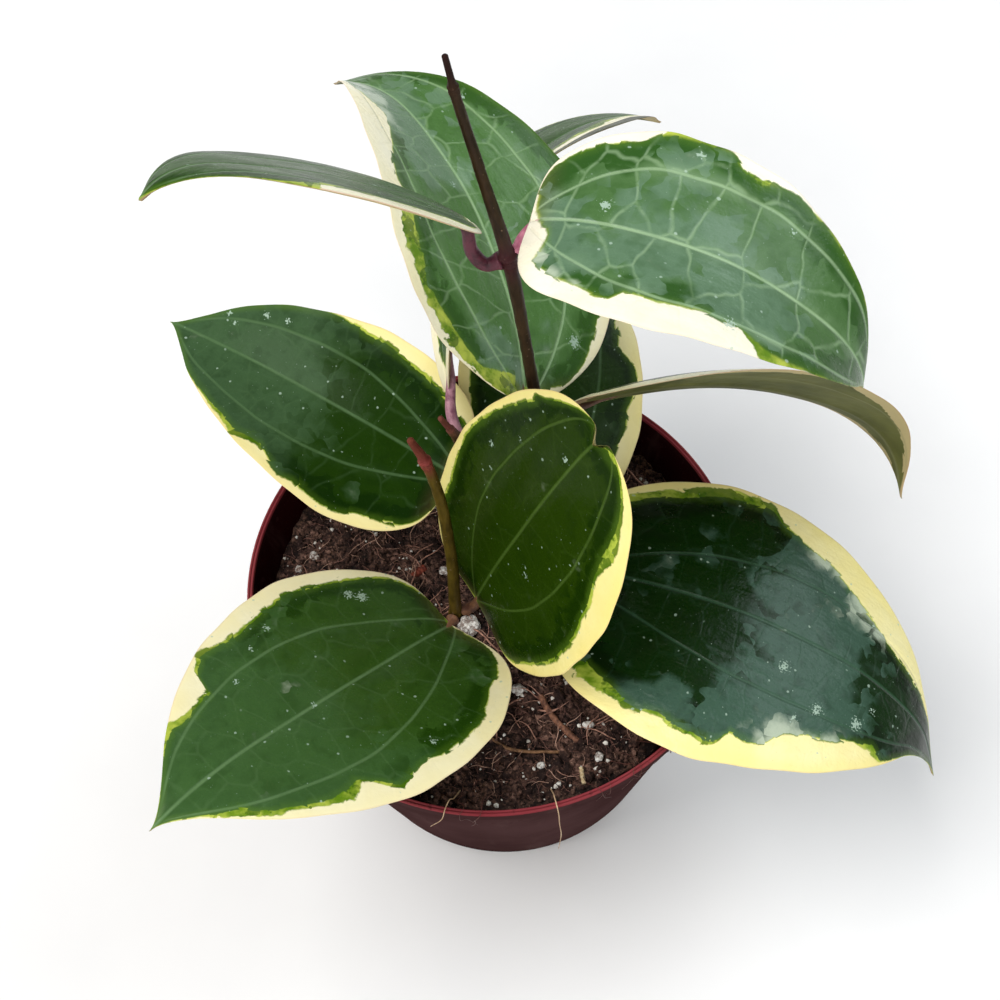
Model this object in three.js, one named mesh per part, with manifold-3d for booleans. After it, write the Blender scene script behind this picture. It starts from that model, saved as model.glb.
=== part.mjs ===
// A wax plant with cream-edged leaves: three vines rooted in one thin plastic nursery pot.
// Millimetres, +Z up. The origin is the centre of the pot's underside, and +Y is the back.

import * as THREE from "three";
import { mergeVertices } from "three/addons/utils/BufferGeometryUtils.js";
import Module from "manifold-3d";

const wasm = await Module();
wasm.setup();

// Driving dimensions

const POT_HEIGHT = 84;
const POT_RIM_RADIUS = 60;
const POT_BASE_RADIUS = 43;
const POT_WALL = 1.3;
const POT_FLOOR = 1.5;
const POT_FOOT_CHAMFER = 1.2;
const RIM_BAND_HEIGHT = 6;
const RIM_OVERHANG = 1.4;
const RIM_WIDTH = 2.5;
const RIM_EDGE_ROUNDING = 0.7;
const DRAIN_HOLE_COUNT = 4;
const DRAIN_HOLE_RADIUS = 3.5;
const DRAIN_HOLE_CIRCLE = 29;

const SOIL_LEVEL = 73.4;
const SOIL_FRONT_RISE = 0.04;
const CLEARANCE = 0.3;
const LEAF_THICKNESS = 1.3;

// Each vine is a list of points up its stem, from below the soil to its tip, and the stem's
// radius at the same points. A node of the vine is a slight swelling.

const VINES = {
  tall_vine: {
    colour: 0x3b2220,
    points: [
      [15.2, 11, 58], [15, 10.7, 74], [14.8, 10.5, 81], [13.7, 10.6, 113], [13.2, 9.9, 139.5],
      [12.1, 8.8, 156], [10.9, 6.5, 174], [8.7, 4, 201], [4.9, 3.2, 225.5], [1.8, 2.5, 245.5],
      [1, 2.2, 252.5],
    ],
    radii: [2.2, 2, 2.3, 1.6, 1.9, 1.5, 1.5, 2, 1.3, 1.1, 0.7],
  },
  short_vine: {
    colour: 0x5c4f24,
    points: [
      [-9.8, -5, 60], [-9.9, -4.6, 75], [-9, -4, 102], [-9.5, -3.5, 129.5], [-11.3, -4, 146.5],
      [-13.5, -5, 157],
    ],
    radii: [2, 1.9, 1.4, 1.4, 1.6, 1],
  },
  back_vine: {
    colour: 0x4a3a22,
    points: [
      [1, 15.5, 60], [1, 15.3, 74], [0.6, 14.8, 97], [-1, 15, 109], [-3.6, 15.6, 120],
      [-6, 14, 129.5], [-7.9, 12.2, 137.5],
    ],
    radii: [2, 1.9, 1.5, 1.8, 2, 1, 0.8],
  },
};

// A leaf starts at its base point, where the stalk meets the blade. heading is the compass
// direction of its midrib (0 along +X, 90 along +Y), pitch its first slope, and roll tilts
// the blade about its midrib, left margin up. bend is how far the midrib droops from base to
// tip, and tipHook how much more the last third droops. curve turns the midrib sideways in
// the blade's own plane and twist turns the blade about it. fold lifts both halves like a
// shallow V, and cup curls the margins up, at the base and at the tip. All are in degrees.
// length runs along the midrib; left and right are the widest half widths. lobe is how far
// the blade reaches back round its stalk, and beak how far its point is drawn out. The stalk
// is a list of points from the vine towards the base.

const LEAF_FORM = {
  curve: 0, twist: 0, tipHook: 0, fold: 5, cup: [0, 0], lobe: 4, beak: 4, baseRound: 0.5, tipPoint: 0.75,
};

const LEAVES = {
  leaf_upper_left: {
    base: [3.5, 6, 209], heading: 181, pitch: 40, roll: 36, bend: 21, tipHook: 40, curve: 5, twist: 10,
    fold: 0, length: 61, left: 19, right: 20, lobe: 5, beak: 1,
    vine: "tall_vine", stalk: [[6.8, 4, 200.4], [4.2, 3.9, 199.6], [1.5, 4.8, 203]],
  },
  leaf_upper_right: {
    base: [13, 7.5, 206.5], heading: -18, pitch: 14, roll: -2, bend: 62, tipHook: 25, curve: -10,
    cup: [0, 25], length: 72, left: 22, right: 22, lobe: 1, beak: 2, baseRound: 0.35, tipPoint: 0.7,
    vine: "tall_vine", stalk: [[10.6, 4.6, 201.8], [11.7, 5.8, 203.6]],
  },
  leaf_middle_back: {
    base: [10.5, 10.5, 144], heading: 89, pitch: 24, roll: 41, bend: 39, tipHook: 45, curve: 25,
    fold: 10, cup: [-15, 25], length: 92, left: 30, right: 30, lobe: -2, beak: 3, baseRound: 0.45,
    vine: "tall_vine", stalk: [[12.2, 10.8, 139.6], [11, 11, 141.6]],
  },
  leaf_middle_right: {
    base: [20.5, 3.5, 151.5], heading: 25, pitch: -12, roll: -59, bend: 48, tipHook: 50, twist: 15,
    cup: [-20, 5], length: 92, left: 28, right: 27, lobe: 3, beak: 6, tipPoint: 0.8,
    vine: "tall_vine", stalk: [[14.2, 9, 140], [17, 6, 145.5], [19, 4, 149.5]],
  },
  leaf_lower_right: {
    base: [22.5, -5.5, 93], heading: -22, pitch: 13, roll: 3, bend: 57, tipHook: 25, curve: -5,
    twist: -10, fold: 0, cup: [-5, -5], length: 97, left: 33, right: 36, lobe: 7, beak: 15,
    vine: "tall_vine", stalk: [[17, 8.6, 81.5], [19, 3, 88]],
  },
  leaf_lower_back: {
    base: [16, 16.5, 85], heading: 81, pitch: 54, roll: 17, bend: 61, curve: -5, cup: [-5, 0],
    length: 77, left: 23, right: 23, beak: 3,
    vine: "tall_vine", stalk: [[15.1, 12.9, 81], [15.4, 15, 82]],
  },
  leaf_front_left: {
    base: [-11, -9, 78], heading: 224, pitch: 34, roll: 0, bend: 9, tipHook: 25, cup: [10, -20],
    length: 93, left: 33, right: 32, tipPoint: 0.8,
    vine: "short_vine", stalk: [[-10.8, -7, 76.3]],
  },
  leaf_front_upright: {
    base: [-4.5, -6.5, 85.5], heading: -26, pitch: 74, roll: 52, bend: 11, tipHook: 10, fold: 0,
    cup: [10, 0], length: 87, left: 26, right: 31, beak: -2, baseRound: 0.4, tipPoint: 0.5,
    vine: "short_vine", stalk: [[-7.4, -4.4, 76.2], [-5, -5, 79.5]],
  },
  leaf_left: {
    base: [-6.8, 16.5, 105.8], heading: 151, pitch: 24, roll: -20, bend: 33, twist: 10, cup: [0, 55],
    length: 78, left: 25, right: 24, lobe: 1, tipPoint: 0.85,
    vine: "back_vine", stalk: [[-2.6, 15.2, 107]],
  },
  leaf_back_arched: {
    base: [-7.1, 24.4, 128.5], heading: 92, pitch: 11, roll: -77, bend: 75, tipHook: 20, curve: -15,
    twist: 45, cup: [20, -15], length: 107, left: 20, right: 22, baseRound: 1, tipPoint: 0.7,
    vine: "back_vine", stalk: [[-4.4, 17, 120.6], [-6.2, 20.5, 125.5]],
  },
};

const STALK_RADIUS = 1.6;

// Loose pieces in the soil. Each lump of perlite has its centre in plan and its radius.

const PERLITE = [
  [-6.5, -9.5, 2.9], [-4.3, 3, 1.7], [-11.5, 8, 1.6], [4.8, -27.6, 1.5], [19.5, -37, 1.6],
  [21, -45.5, 1.4], [7.3, -46, 1.3], [-45, 15.5, 1.6], [-49, 12.5, 1.4], [-53, 7, 1.3],
];

const TWIGS = {
  surface_root: { radius: 0.8, colour: 0x6b4632, points: [[8.8, -28.5], [11.6, -34.5], [16.5, -41]] },
  twig_front: { radius: 0.6, colour: 0x7a5a3c, points: [[-4, -38], [1, -41.5], [12, -43]] },
  twig_right: { radius: 0.7, colour: 0x53352a, points: [[31, -36], [31.5, -42]] },
  pale_splinter: { radius: 0.6, colour: 0xb9a67e, points: [[16.6, -47.5], [17, -51.5]] },
  bark_chip: { radius: 1, colour: 0x6a2f22, points: [[-20, 7], [-17, 9.5]] },
};

// Hair-thin roots that hang over the rim, as [compass direction, distance from the pot's
// axis, height], from the soil, over the rim and down outside.

const RIM_ROOTS = {
  rim_root_left: [[257, 52, 76.5], [256.5, 56, 82.3], [256, 57.5, 85.3], [255.5, 59.8, 85.5], [255, 61.2, 83],
    [252, 61.4, 76]],
  rim_root_front: [[280, 53, 76.5], [279.8, 56.2, 82.3], [279.6, 57.6, 85.3], [279.6, 59.8, 85.5],
    [279.7, 61.2, 83], [279.8, 61.3, 76], [280.3, 60.2, 62]],
};
const RIM_ROOT_RADIUS = 0.35;

// Helpers

const radians = THREE.MathUtils.degToRad;

function toSolid(geometry) {
  for (const name of Object.keys(geometry.attributes)) {
    if (name !== "position") {
      geometry.deleteAttribute(name);
    }
  }
  const merged = mergeVertices(geometry, 1e-4);
  return new wasm.Manifold(new wasm.Mesh({
    numProp: 3,
    vertProperties: Float32Array.from(merged.attributes.position.array),
    triVerts: Uint32Array.from(merged.index.array),
  }));
}

function largestBody(solid) {
  return solid.decompose().sort((a, b) => b.volume() - a.volume())[0];
}

function toMesh(name, solid, material) {
  const { vertProperties, triVerts } = solid.getMesh();
  const geometry = new THREE.BufferGeometry();
  geometry.setAttribute("position", new THREE.BufferAttribute(Float32Array.from(vertProperties), 3));
  geometry.setIndex(new THREE.BufferAttribute(Uint32Array.from(triVerts), 1));
  geometry.computeVertexNormals();
  const mesh = new THREE.Mesh(geometry, material);
  mesh.name = name;
  return mesh;
}

function finish(color, roughness) {
  return new THREE.MeshStandardMaterial({ color, roughness, metalness: 0 });
}

// A round stem along a smooth curve through the points, with its radius at each point. margin
// makes it larger all round and at both ends.

function sweep(points, radii, sides, stepsPerSpan, margin = 0) {
  const path = points.map((p) => new THREE.Vector3(...p));
  const first = path[0].clone().sub(path[1]).setLength(margin);
  const last = path.at(-1).clone().sub(path.at(-2)).setLength(margin);
  path[0].add(first);
  path.at(-1).add(last);
  const curve = new THREE.CatmullRomCurve3(path);
  const spans = points.length - 1;
  const steps = spans * stepsPerSpan;
  const geometry = new THREE.CylinderGeometry(1, 1, 1, sides, steps);
  const position = geometry.attributes.position;
  const side = new THREE.Vector3(1, 0, 0);
  const rings = [];
  for (let i = 0; i <= steps; i += 1) {
    const tangent = curve.getTangent(i / steps);
    side.addScaledVector(tangent, -side.dot(tangent)).normalize();
    const place = (i / steps) * spans;
    const below = Math.min(Math.floor(place), spans - 1);
    rings.push({
      centre: curve.getPoint(i / steps),
      side: side.clone(),
      up: tangent.clone().cross(side),
      radius: THREE.MathUtils.lerp(radii[below], radii[below + 1], place - below) + margin,
    });
  }
  for (let i = 0; i < position.count; i += 1) {
    const ring = rings[Math.round((position.getY(i) + 0.5) * steps)];
    const point = ring.centre.clone()
      .addScaledVector(ring.side, position.getZ(i) * ring.radius)
      .addScaledVector(ring.up, position.getX(i) * ring.radius);
    position.setXYZ(i, point.x, point.y, point.z);
  }
  return toSolid(geometry);
}

// Pot: a thin turned wall with a thicker band at the rim, and drainage holes in its floor.

function wallRadius(z) {
  return POT_BASE_RADIUS + ((POT_RIM_RADIUS - RIM_OVERHANG - POT_BASE_RADIUS) / POT_HEIGHT) * z;
}

function potSolid() {
  const bandFoot = POT_HEIGHT - RIM_BAND_HEIGHT;
  const edge = RIM_EDGE_ROUNDING;
  const profile = [
    [0, 0],
    [POT_BASE_RADIUS - POT_FOOT_CHAMFER, 0],
    [POT_BASE_RADIUS, POT_FOOT_CHAMFER],
    [wallRadius(bandFoot - 1), bandFoot - 1],
    [POT_RIM_RADIUS - 0.5, bandFoot],
    [POT_RIM_RADIUS - 0.1, bandFoot + 0.6],
    [POT_RIM_RADIUS, POT_HEIGHT - edge],
    [POT_RIM_RADIUS - edge, POT_HEIGHT],
    [POT_RIM_RADIUS - RIM_WIDTH + edge, POT_HEIGHT],
    [POT_RIM_RADIUS - RIM_WIDTH, POT_HEIGHT - edge],
    [wallRadius(bandFoot) - POT_WALL, bandFoot - 1],
    [wallRadius(2 * POT_FLOOR) - POT_WALL, 2 * POT_FLOOR],
    [POT_BASE_RADIUS - POT_WALL - POT_FOOT_CHAMFER, POT_FLOOR],
    [0, POT_FLOOR],
  ].map(([radius, z]) => new THREE.Vector2(radius, z));
  const geometry = new THREE.LatheGeometry(profile, 48);
  geometry.rotateX(Math.PI / 2);
  let solid = toSolid(geometry);
  for (let i = 0; i < DRAIN_HOLE_COUNT; i += 1) {
    const hole = new THREE.CylinderGeometry(DRAIN_HOLE_RADIUS, DRAIN_HOLE_RADIUS, 8, 16);
    hole.rotateX(Math.PI / 2);
    hole.translate(DRAIN_HOLE_CIRCLE, 0, 0);
    hole.rotateZ(((i + 0.5) * 2 * Math.PI) / DRAIN_HOLE_COUNT);
    solid = solid.subtract(toSolid(hole));
  }
  return solid;
}

// Soil: fills the pot to a little below the rim, higher at the front and round the stems.

function soilHeight(x, y) {
  const radius = Math.hypot(x, y);
  const mound = 0.5 * Math.exp(-((radius / 22) ** 2));
  const lumps = 0.45 * Math.sin(x / 4.3 + 0.8) * Math.cos(y / 5.1) + 0.3 * Math.sin(x / 2.9 + y / 3.7);
  return SOIL_LEVEL - SOIL_FRONT_RISE * y + mound + lumps;
}

function soilSolid(pockets) {
  const insideRadius = (z) => wallRadius(z) - POT_WALL - 1.5 * CLEARANCE;
  const floor = POT_FLOOR + CLEARANCE;
  const rings = 8;
  const profile = [
    new THREE.Vector2(0, floor),
    new THREE.Vector2(insideRadius(3) - 1.6, floor),
    new THREE.Vector2(insideRadius(4), 4),
  ];
  for (let i = rings; i >= 0; i -= 1) {
    profile.push(new THREE.Vector2((insideRadius(SOIL_LEVEL - 4) * i) / rings, SOIL_LEVEL));
  }
  const geometry = new THREE.LatheGeometry(profile, 32);
  geometry.rotateX(Math.PI / 2);
  const position = geometry.attributes.position;
  for (let i = 0; i < position.count; i += 1) {
    if (position.getZ(i) > SOIL_LEVEL - 1) {
      position.setZ(i, soilHeight(position.getX(i), position.getY(i)));
    }
  }
  let solid = toSolid(geometry);
  for (const pocket of pockets) {
    solid = solid.subtract(pocket);
  }
  return largestBody(solid);
}

// Leaf: the frame of its midrib is carried along in small turns, then a flattened ball is
// wrapped round it, pole to pole from base to tip.

function midribFrames(leaf, steps) {
  const heading = radians(leaf.heading);
  const pitch = radians(leaf.pitch);
  const along = new THREE.Vector3(
    Math.cos(pitch) * Math.cos(heading),
    Math.cos(pitch) * Math.sin(heading),
    Math.sin(pitch),
  );
  const across = new THREE.Vector3(-Math.sin(heading), Math.cos(heading), 0)
    .applyAxisAngle(along, radians(leaf.roll));
  const up = along.clone().cross(across);
  const droop = (x) => radians(leaf.bend) * x + radians(leaf.tipHook) * Math.max(0, (x - 0.7) / 0.3) ** 2;
  const point = new THREE.Vector3(...leaf.base);
  const frames = [{ point: point.clone(), along: along.clone(), across: across.clone(), up: up.clone() }];
  for (let i = 0; i < steps; i += 1) {
    const turn = across.clone().multiplyScalar(droop((i + 1) / steps) - droop(i / steps))
      .addScaledVector(up, radians(leaf.curve) / steps)
      .addScaledVector(along, radians(leaf.twist) / steps);
    const angle = turn.length();
    const before = along.clone();
    if (angle > 0) {
      turn.normalize();
      [along, across, up].forEach((axis) => axis.applyAxisAngle(turn, angle));
    }
    point.addScaledVector(before.add(along), (0.5 * leaf.length) / steps);
    frames.push({ point: point.clone(), along: along.clone(), across: across.clone(), up: up.clone() });
  }
  return frames;
}

function frameAt(frames, x) {
  const place = THREE.MathUtils.clamp(x, 0, 1) * (frames.length - 1);
  const i = Math.min(Math.floor(place), frames.length - 2);
  const blend = (key) => frames[i][key].clone().lerp(frames[i + 1][key], place - i);
  return { point: blend("point"), along: blend("along"), across: blend("across"), up: blend("up") };
}

// s runs from base to tip, t from the right margin (-1) to the left one (1), and lift is how
// far above the middle of the blade's thickness the point lies.

function leafPoint(leaf, frames, s, t, lift) {
  const widest = leaf.baseRound / (leaf.baseRound + leaf.tipPoint);
  const outline = (s ** leaf.baseRound * (1 - s) ** leaf.tipPoint)
    / (widest ** leaf.baseRound * (1 - widest) ** leaf.tipPoint);
  const halfWidth = t > 0 ? leaf.left : leaf.right;
  const y = Math.abs(t) * halfWidth * outline;
  const nearBase = s / 0.06;
  const nearTip = Math.max(0, (s - 0.9) / 0.1);
  const reachBack = (leaf.lobe / leaf.length) * nearBase * Math.exp(1 - nearBase);
  const drawnOut = (leaf.beak / leaf.length) * nearTip ** 2;
  const x = s - t * t * reachBack + drawnOut;
  const frame = frameAt(frames, x);
  const beyond = (x - THREE.MathUtils.clamp(x, 0, 1)) * leaf.length;
  const cup = radians(THREE.MathUtils.lerp(leaf.cup[0], leaf.cup[1], THREE.MathUtils.clamp(x, 0, 1)));
  const curl = (cup * y) / halfWidth;
  const chord = Math.abs(curl) < 1e-6 ? y : (y * Math.sin(curl / 2)) / (curl / 2);
  const slope = radians(leaf.fold) + curl / 2;
  return frame.point
    .addScaledVector(frame.along, beyond)
    .addScaledVector(frame.across, Math.sign(t) * chord * Math.cos(slope) - Math.sign(t) * lift * Math.sin(slope))
    .addScaledVector(frame.up, chord * Math.sin(slope) + lift * Math.cos(slope));
}

function bladeSolid(leaf, thickness) {
  const frames = midribFrames(leaf, 40);
  const geometry = new THREE.SphereGeometry(1, 14, 16);
  const position = geometry.attributes.position;
  for (let i = 0; i < position.count; i += 1) {
    const s = THREE.MathUtils.clamp((1 - position.getY(i)) / 2, 0, 1);
    const girth = Math.sqrt(Math.max(0, 1 - position.getY(i) ** 2));
    const t = girth > 1e-6 ? THREE.MathUtils.clamp(position.getX(i) / girth, -1, 1) : 0;
    const side = girth > 1e-6 ? position.getZ(i) / girth : 0;
    const point = leafPoint(leaf, frames, s, t, (side * thickness) / 2);
    position.setXYZ(i, point.x, point.y, point.z);
  }
  return toSolid(geometry);
}

function stalkSolid(leaf, radius) {
  const frames = midribFrames(leaf, 40);
  const under = leafPoint(leaf, frames, 0.02, 0, -0.9);
  const inside = leafPoint(leaf, frames, 0.09, 0, -0.7);
  const points = [...leaf.stalk, under.toArray(), inside.toArray()];
  const radii = [...leaf.stalk.map(() => radius), 0.8 * radius, 0.45 * radius];
  return sweep(points, radii, 8, 3);
}

function leafSolid(leaf, vinePocket) {
  const whole = bladeSolid(leaf, LEAF_THICKNESS).add(stalkSolid(leaf, STALK_RADIUS));
  return largestBody(whole.subtract(vinePocket));
}

// Loose pieces: uneven lumps of perlite, and twigs that lie along the soil.

function lumpSolid(x, y, radius, index) {
  const geometry = new THREE.IcosahedronGeometry(radius, 1);
  const position = geometry.attributes.position;
  for (let i = 0; i < position.count; i += 1) {
    const point = new THREE.Vector3().fromBufferAttribute(position, i);
    const direction = point.clone().divideScalar(radius);
    const bump = 0.14 * Math.sin(4.1 * direction.x + 1.7 * index) + 0.12 * Math.cos(3.7 * direction.y + index)
      + 0.1 * Math.sin(5.3 * direction.z + 2.3 * index);
    point.multiplyScalar(1 + bump);
    position.setXYZ(i, point.x + x, point.y + y, point.z * 0.85 + soilHeight(x, y) + 0.35 * radius);
  }
  return toSolid(geometry);
}

function twigPoints(twig) {
  return twig.points.map(([x, y]) => [x, y, soilHeight(x, y) + 0.2 * twig.radius + 0.3]);
}

// Build the object

const materials = {
  pot: finish(0x5a3230, 0.5),
  soil: finish(0x2a1a12, 1),
  leaf: finish(0x2f5a28, 0.3),
  perlite: finish(0xd9d4cb, 0.9),
  root: finish(0xb59a78, 0.8),
};

const model = new THREE.Group();
const vinePockets = {};
const soilPockets = [];

for (const [name, vine] of Object.entries(VINES)) {
  vinePockets[name] = sweep(vine.points, vine.radii, 10, 3, CLEARANCE);
  soilPockets.push(vinePockets[name]);
  model.add(toMesh(name, sweep(vine.points, vine.radii, 10, 3), finish(vine.colour, 0.6)));
}

for (const [name, shape] of Object.entries(LEAVES)) {
  const leaf = { ...LEAF_FORM, ...shape };
  model.add(toMesh(name, leafSolid(leaf, vinePockets[leaf.vine]), materials.leaf));
}

PERLITE.forEach(([x, y, radius], index) => {
  model.add(toMesh(`perlite_${index + 1}`, lumpSolid(x, y, radius, index), materials.perlite));
  const pocket = lumpSolid(x, y, radius, index);
  const centre = [x, y, soilHeight(x, y) + 0.35 * radius];
  const growth = 1 + (1.2 * CLEARANCE) / radius;
  soilPockets.push(pocket.translate(centre.map((v) => -v)).scale(growth).translate(centre));
});

for (const [name, twig] of Object.entries(TWIGS)) {
  const points = twigPoints(twig);
  const radii = points.map(() => twig.radius);
  model.add(toMesh(name, sweep(points, radii, 7, 3), finish(twig.colour, 0.8)));
  soilPockets.push(sweep(points, radii, 7, 3, CLEARANCE));
}

for (const [name, route] of Object.entries(RIM_ROOTS)) {
  const points = route.map(([direction, distance, z]) => [
    distance * Math.cos(radians(direction)),
    distance * Math.sin(radians(direction)),
    z,
  ]);
  const radii = points.map(() => RIM_ROOT_RADIUS);
  model.add(toMesh(name, sweep(points, radii, 6, 3), materials.root));
  soilPockets.push(sweep(points, radii, 6, 3, CLEARANCE));
}

model.add(toMesh("pot", potSolid(), materials.pot));
model.add(toMesh("soil", soilSolid(soilPockets), materials.soil));

export default model;
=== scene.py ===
# A wax plant with cream-edged leaves: three vines rooted in one thin plastic nursery pot.
# Metres, +Z up. The origin is the centre of the pot's underside, and +Y is the back.

import math
import random

import bmesh
import bpy
import numpy as np
from mathutils import Matrix, Vector, noise


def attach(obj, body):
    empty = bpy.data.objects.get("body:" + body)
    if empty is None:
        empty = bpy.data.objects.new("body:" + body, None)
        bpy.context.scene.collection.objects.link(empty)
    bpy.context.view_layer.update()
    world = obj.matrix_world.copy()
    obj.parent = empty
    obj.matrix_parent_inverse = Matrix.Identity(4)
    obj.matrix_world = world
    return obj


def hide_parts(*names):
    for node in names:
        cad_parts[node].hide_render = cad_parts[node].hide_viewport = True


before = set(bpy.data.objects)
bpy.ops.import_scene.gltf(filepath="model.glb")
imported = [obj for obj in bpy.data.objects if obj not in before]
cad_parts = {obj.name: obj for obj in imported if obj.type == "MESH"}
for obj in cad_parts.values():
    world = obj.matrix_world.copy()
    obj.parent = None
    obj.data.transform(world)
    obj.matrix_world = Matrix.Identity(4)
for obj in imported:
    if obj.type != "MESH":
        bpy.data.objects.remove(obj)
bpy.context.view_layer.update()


# Camera: looks down on the plant from the front at about 60 degrees, as the photograph does,
# and is turned a few degrees about its own axis.

CAMERA_PLACE = (0.0034, -0.1726, 0.4230)
CAMERA_ELEVATION = math.radians(60.25)
CAMERA_ROLL = math.radians(-5.05)
CAMERA_LENS_MM = 56.27


def put_in_scene(name, data):
    thing = bpy.data.objects.new(name, data)
    bpy.context.scene.collection.objects.link(thing)
    return thing


camera = put_in_scene("camera", bpy.data.cameras.new("camera"))
camera.matrix_world = (
    Matrix.Translation(CAMERA_PLACE)
    @ Matrix.Rotation(math.pi / 2 - CAMERA_ELEVATION, 4, "X")
    @ Matrix.Rotation(CAMERA_ROLL, 4, "Z")
)
camera.data.lens = CAMERA_LENS_MM
camera.data.clip_start = 0.01
camera.data.clip_end = 20
bpy.context.scene.camera = camera


# Studio light: one large soft light overhead, a bluish window high on the right, which the
# glossy leaves mirror, a soft fill from the front left, and a dim even surrounding.

SKY_COLOUR = (0.84, 0.93, 1.0)
FILL_COLOUR = (1.0, 0.98, 0.95)
ROOM_COLOUR = (0.96, 0.98, 1.0, 1)
ROOM_STRENGTH = 0.32
PLANT_MIDDLE = Vector((0, 0, 0.1))


def soft_light(name, place, size, watts, colour):
    """A rectangular lamp in metres and watts, turned towards the plant."""
    light = bpy.data.lights.new(name, "AREA")
    light.shape = "RECTANGLE"
    light.size, light.size_y = size
    light.energy = watts
    light.color = colour
    holder = put_in_scene(name, light)
    holder.location = place
    holder.rotation_mode = "QUATERNION"
    holder.rotation_quaternion = (PLANT_MIDDLE - Vector(place)).to_track_quat("-Z", "Y")


soft_light("overhead", (-1.0, -0.1, 2.4), (1.5, 1.5), 46, FILL_COLOUR)
soft_light("window", (1.35, 0.6, 1.75), (1.5, 1.0), 14, SKY_COLOUR)
soft_light("front_fill", (-0.6, -2.1, 1.7), (1.5, 1.5), 30, FILL_COLOUR)

world = bpy.data.worlds.new("pale_room")
world.use_nodes = True
world.node_tree.nodes["Background"].inputs["Color"].default_value = ROOM_COLOUR
world.node_tree.nodes["Background"].inputs["Strength"].default_value = ROOM_STRENGTH
bpy.context.scene.world = world
bpy.context.scene.view_settings.view_transform = "Standard"


# Floor: a matt pale surface under the pot. The shader helpers start here: Signal is a value in
# a material's node tree, and Python's operators on it add Math nodes.

MM = 0.001
FLOOR_HALF = 6.0


class Signal:
    def __init__(self, tree, socket=None):
        self.tree = tree
        self.socket = socket

    def node(self, kind, sockets, output=0, **settings):
        """Adds any node: its settings first, then the values or links of its sockets."""
        made = self.tree.nodes.new("ShaderNode" + kind)
        for name, value in settings.items():
            setattr(made, name, value)
        for name, value in sockets.items():
            if isinstance(value, Signal):
                self.tree.links.new(value.socket, made.inputs[name])
            else:
                made.inputs[name].default_value = value
        return Signal(self.tree, made.outputs[output])

    def maths(self, operation, *values):
        return self.node("Math", dict(enumerate(values)), operation=operation)

    def __add__(self, other):
        return self.maths("ADD", self, other)

    def __sub__(self, other):
        return self.maths("SUBTRACT", self, other)

    def __rsub__(self, other):
        return self.maths("SUBTRACT", other, self)

    def __mul__(self, other):
        return self.maths("MULTIPLY", self, other)

    def __abs__(self):
        return self.maths("ABSOLUTE", self)

    __radd__ = __add__
    __rmul__ = __mul__

    def at_least(self, other):
        return self.maths("MAXIMUM", self, other)

    def ramp(self, low, high):
        """Rises smoothly from 0 at low to 1 at high; it falls if low is the larger."""
        return self.node("MapRange", {0: self, 1: low, 2: high}, interpolation_type="SMOOTHSTEP")

    def noise(self, scale, detail=2.0, roughness=0.5):
        sockets = {"Vector": self, "Scale": scale, "Detail": detail, "Roughness": roughness}
        return self.node("TexNoise", sockets, noise_dimensions="3D")

    def mix(self, low, high):
        """Blends two colours by this signal: low where it is 0, high where it is 1."""
        return self.node("Mix", {0: self, 6: low, 7: high}, output=2, data_type="RGBA")

    def warped(self, scale, amount):
        """Shifts a place by a smooth wandering offset, so that straight lines bend."""
        swirl = self.node("TexNoise", {"Vector": self, "Scale": scale, "Detail": 1.0}, output=1)
        swirl = swirl.node("VectorMath", {0: swirl, 1: (0.5, 0.5, 0.5)}, operation="SUBTRACT")
        swirl = swirl.node("VectorMath", {0: swirl, "Scale": amount}, operation="SCALE")
        return self.node("VectorMath", {0: self, 1: swirl}, operation="ADD")

    def stretch(self, x, y, z, offset=(0, 0, 0)):
        return self.node("Mapping", {"Vector": self, "Scale": (x, y, z), "Location": offset})


def paint(red, green, blue):
    """A colour as it looks on a screen, from 0 to 255, made linear."""
    channels = []
    for value in (red, green, blue):
        share = value / 255
        channels.append(share / 12.92 if share < 0.04045 else ((share + 0.055) / 1.055) ** 2.4)
    return (*channels, 1.0)


def new_finish(name):
    """A material with only its surface shader, and the starting point of its node tree."""
    material = bpy.data.materials.new(name)
    material.use_nodes = True
    return material, Signal(material.node_tree)


def surface(material, constants, **links):
    """Sets the surface shader's constants and links what varies over the surface."""
    shader = material.node_tree.nodes["Principled BSDF"]
    for name, value in constants.items():
        shader.inputs[name].default_value = value
    for name, signal in links.items():
        material.node_tree.links.new(signal.socket, shader.inputs[name.replace("_", " ")])


def relief(height, strength=1.0):
    """Bump from a height in millimetres."""
    return height.node("Bump", {"Height": height, "Strength": strength, "Distance": MM})


def object_place(tree):
    """Object coordinates in millimetres."""
    place = tree.node("TexCoord", {}, output=3)
    return place.stretch(1000, 1000, 1000)


def new_piece(name, vertices, faces, material):
    mesh = bpy.data.meshes.new(name)
    mesh.from_pydata([tuple(v) for v in vertices], [], faces)
    mesh.materials.append(material)
    mesh.polygons.foreach_set("use_smooth", [True] * len(mesh.polygons))
    mesh.update()
    return put_in_scene(name, mesh)


floor_finish, tree = new_finish("floor_paint")
mottle = object_place(tree).noise(0.02, 3)
surface(
    floor_finish,
    {"Roughness": 0.7, "Specular IOR Level": 0.2},
    Base_Color=mottle.mix(paint(236, 236, 237), paint(246, 246, 246)),
)
corners = [(-1, -1), (1, -1), (1, 1), (-1, 1)]
floor_points = [(x * FLOOR_HALF, y * FLOOR_HALF, 0) for x, y in corners]
floor = new_piece("floor", floor_points, [(0, 1, 2, 3)], floor_finish)


# Pot: a thin injection-moulded nursery pot of reddish brown polypropylene. The wall leans out
# to a thicker rim band with two beads on its top edge, and the floor has four drain holes.

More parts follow.
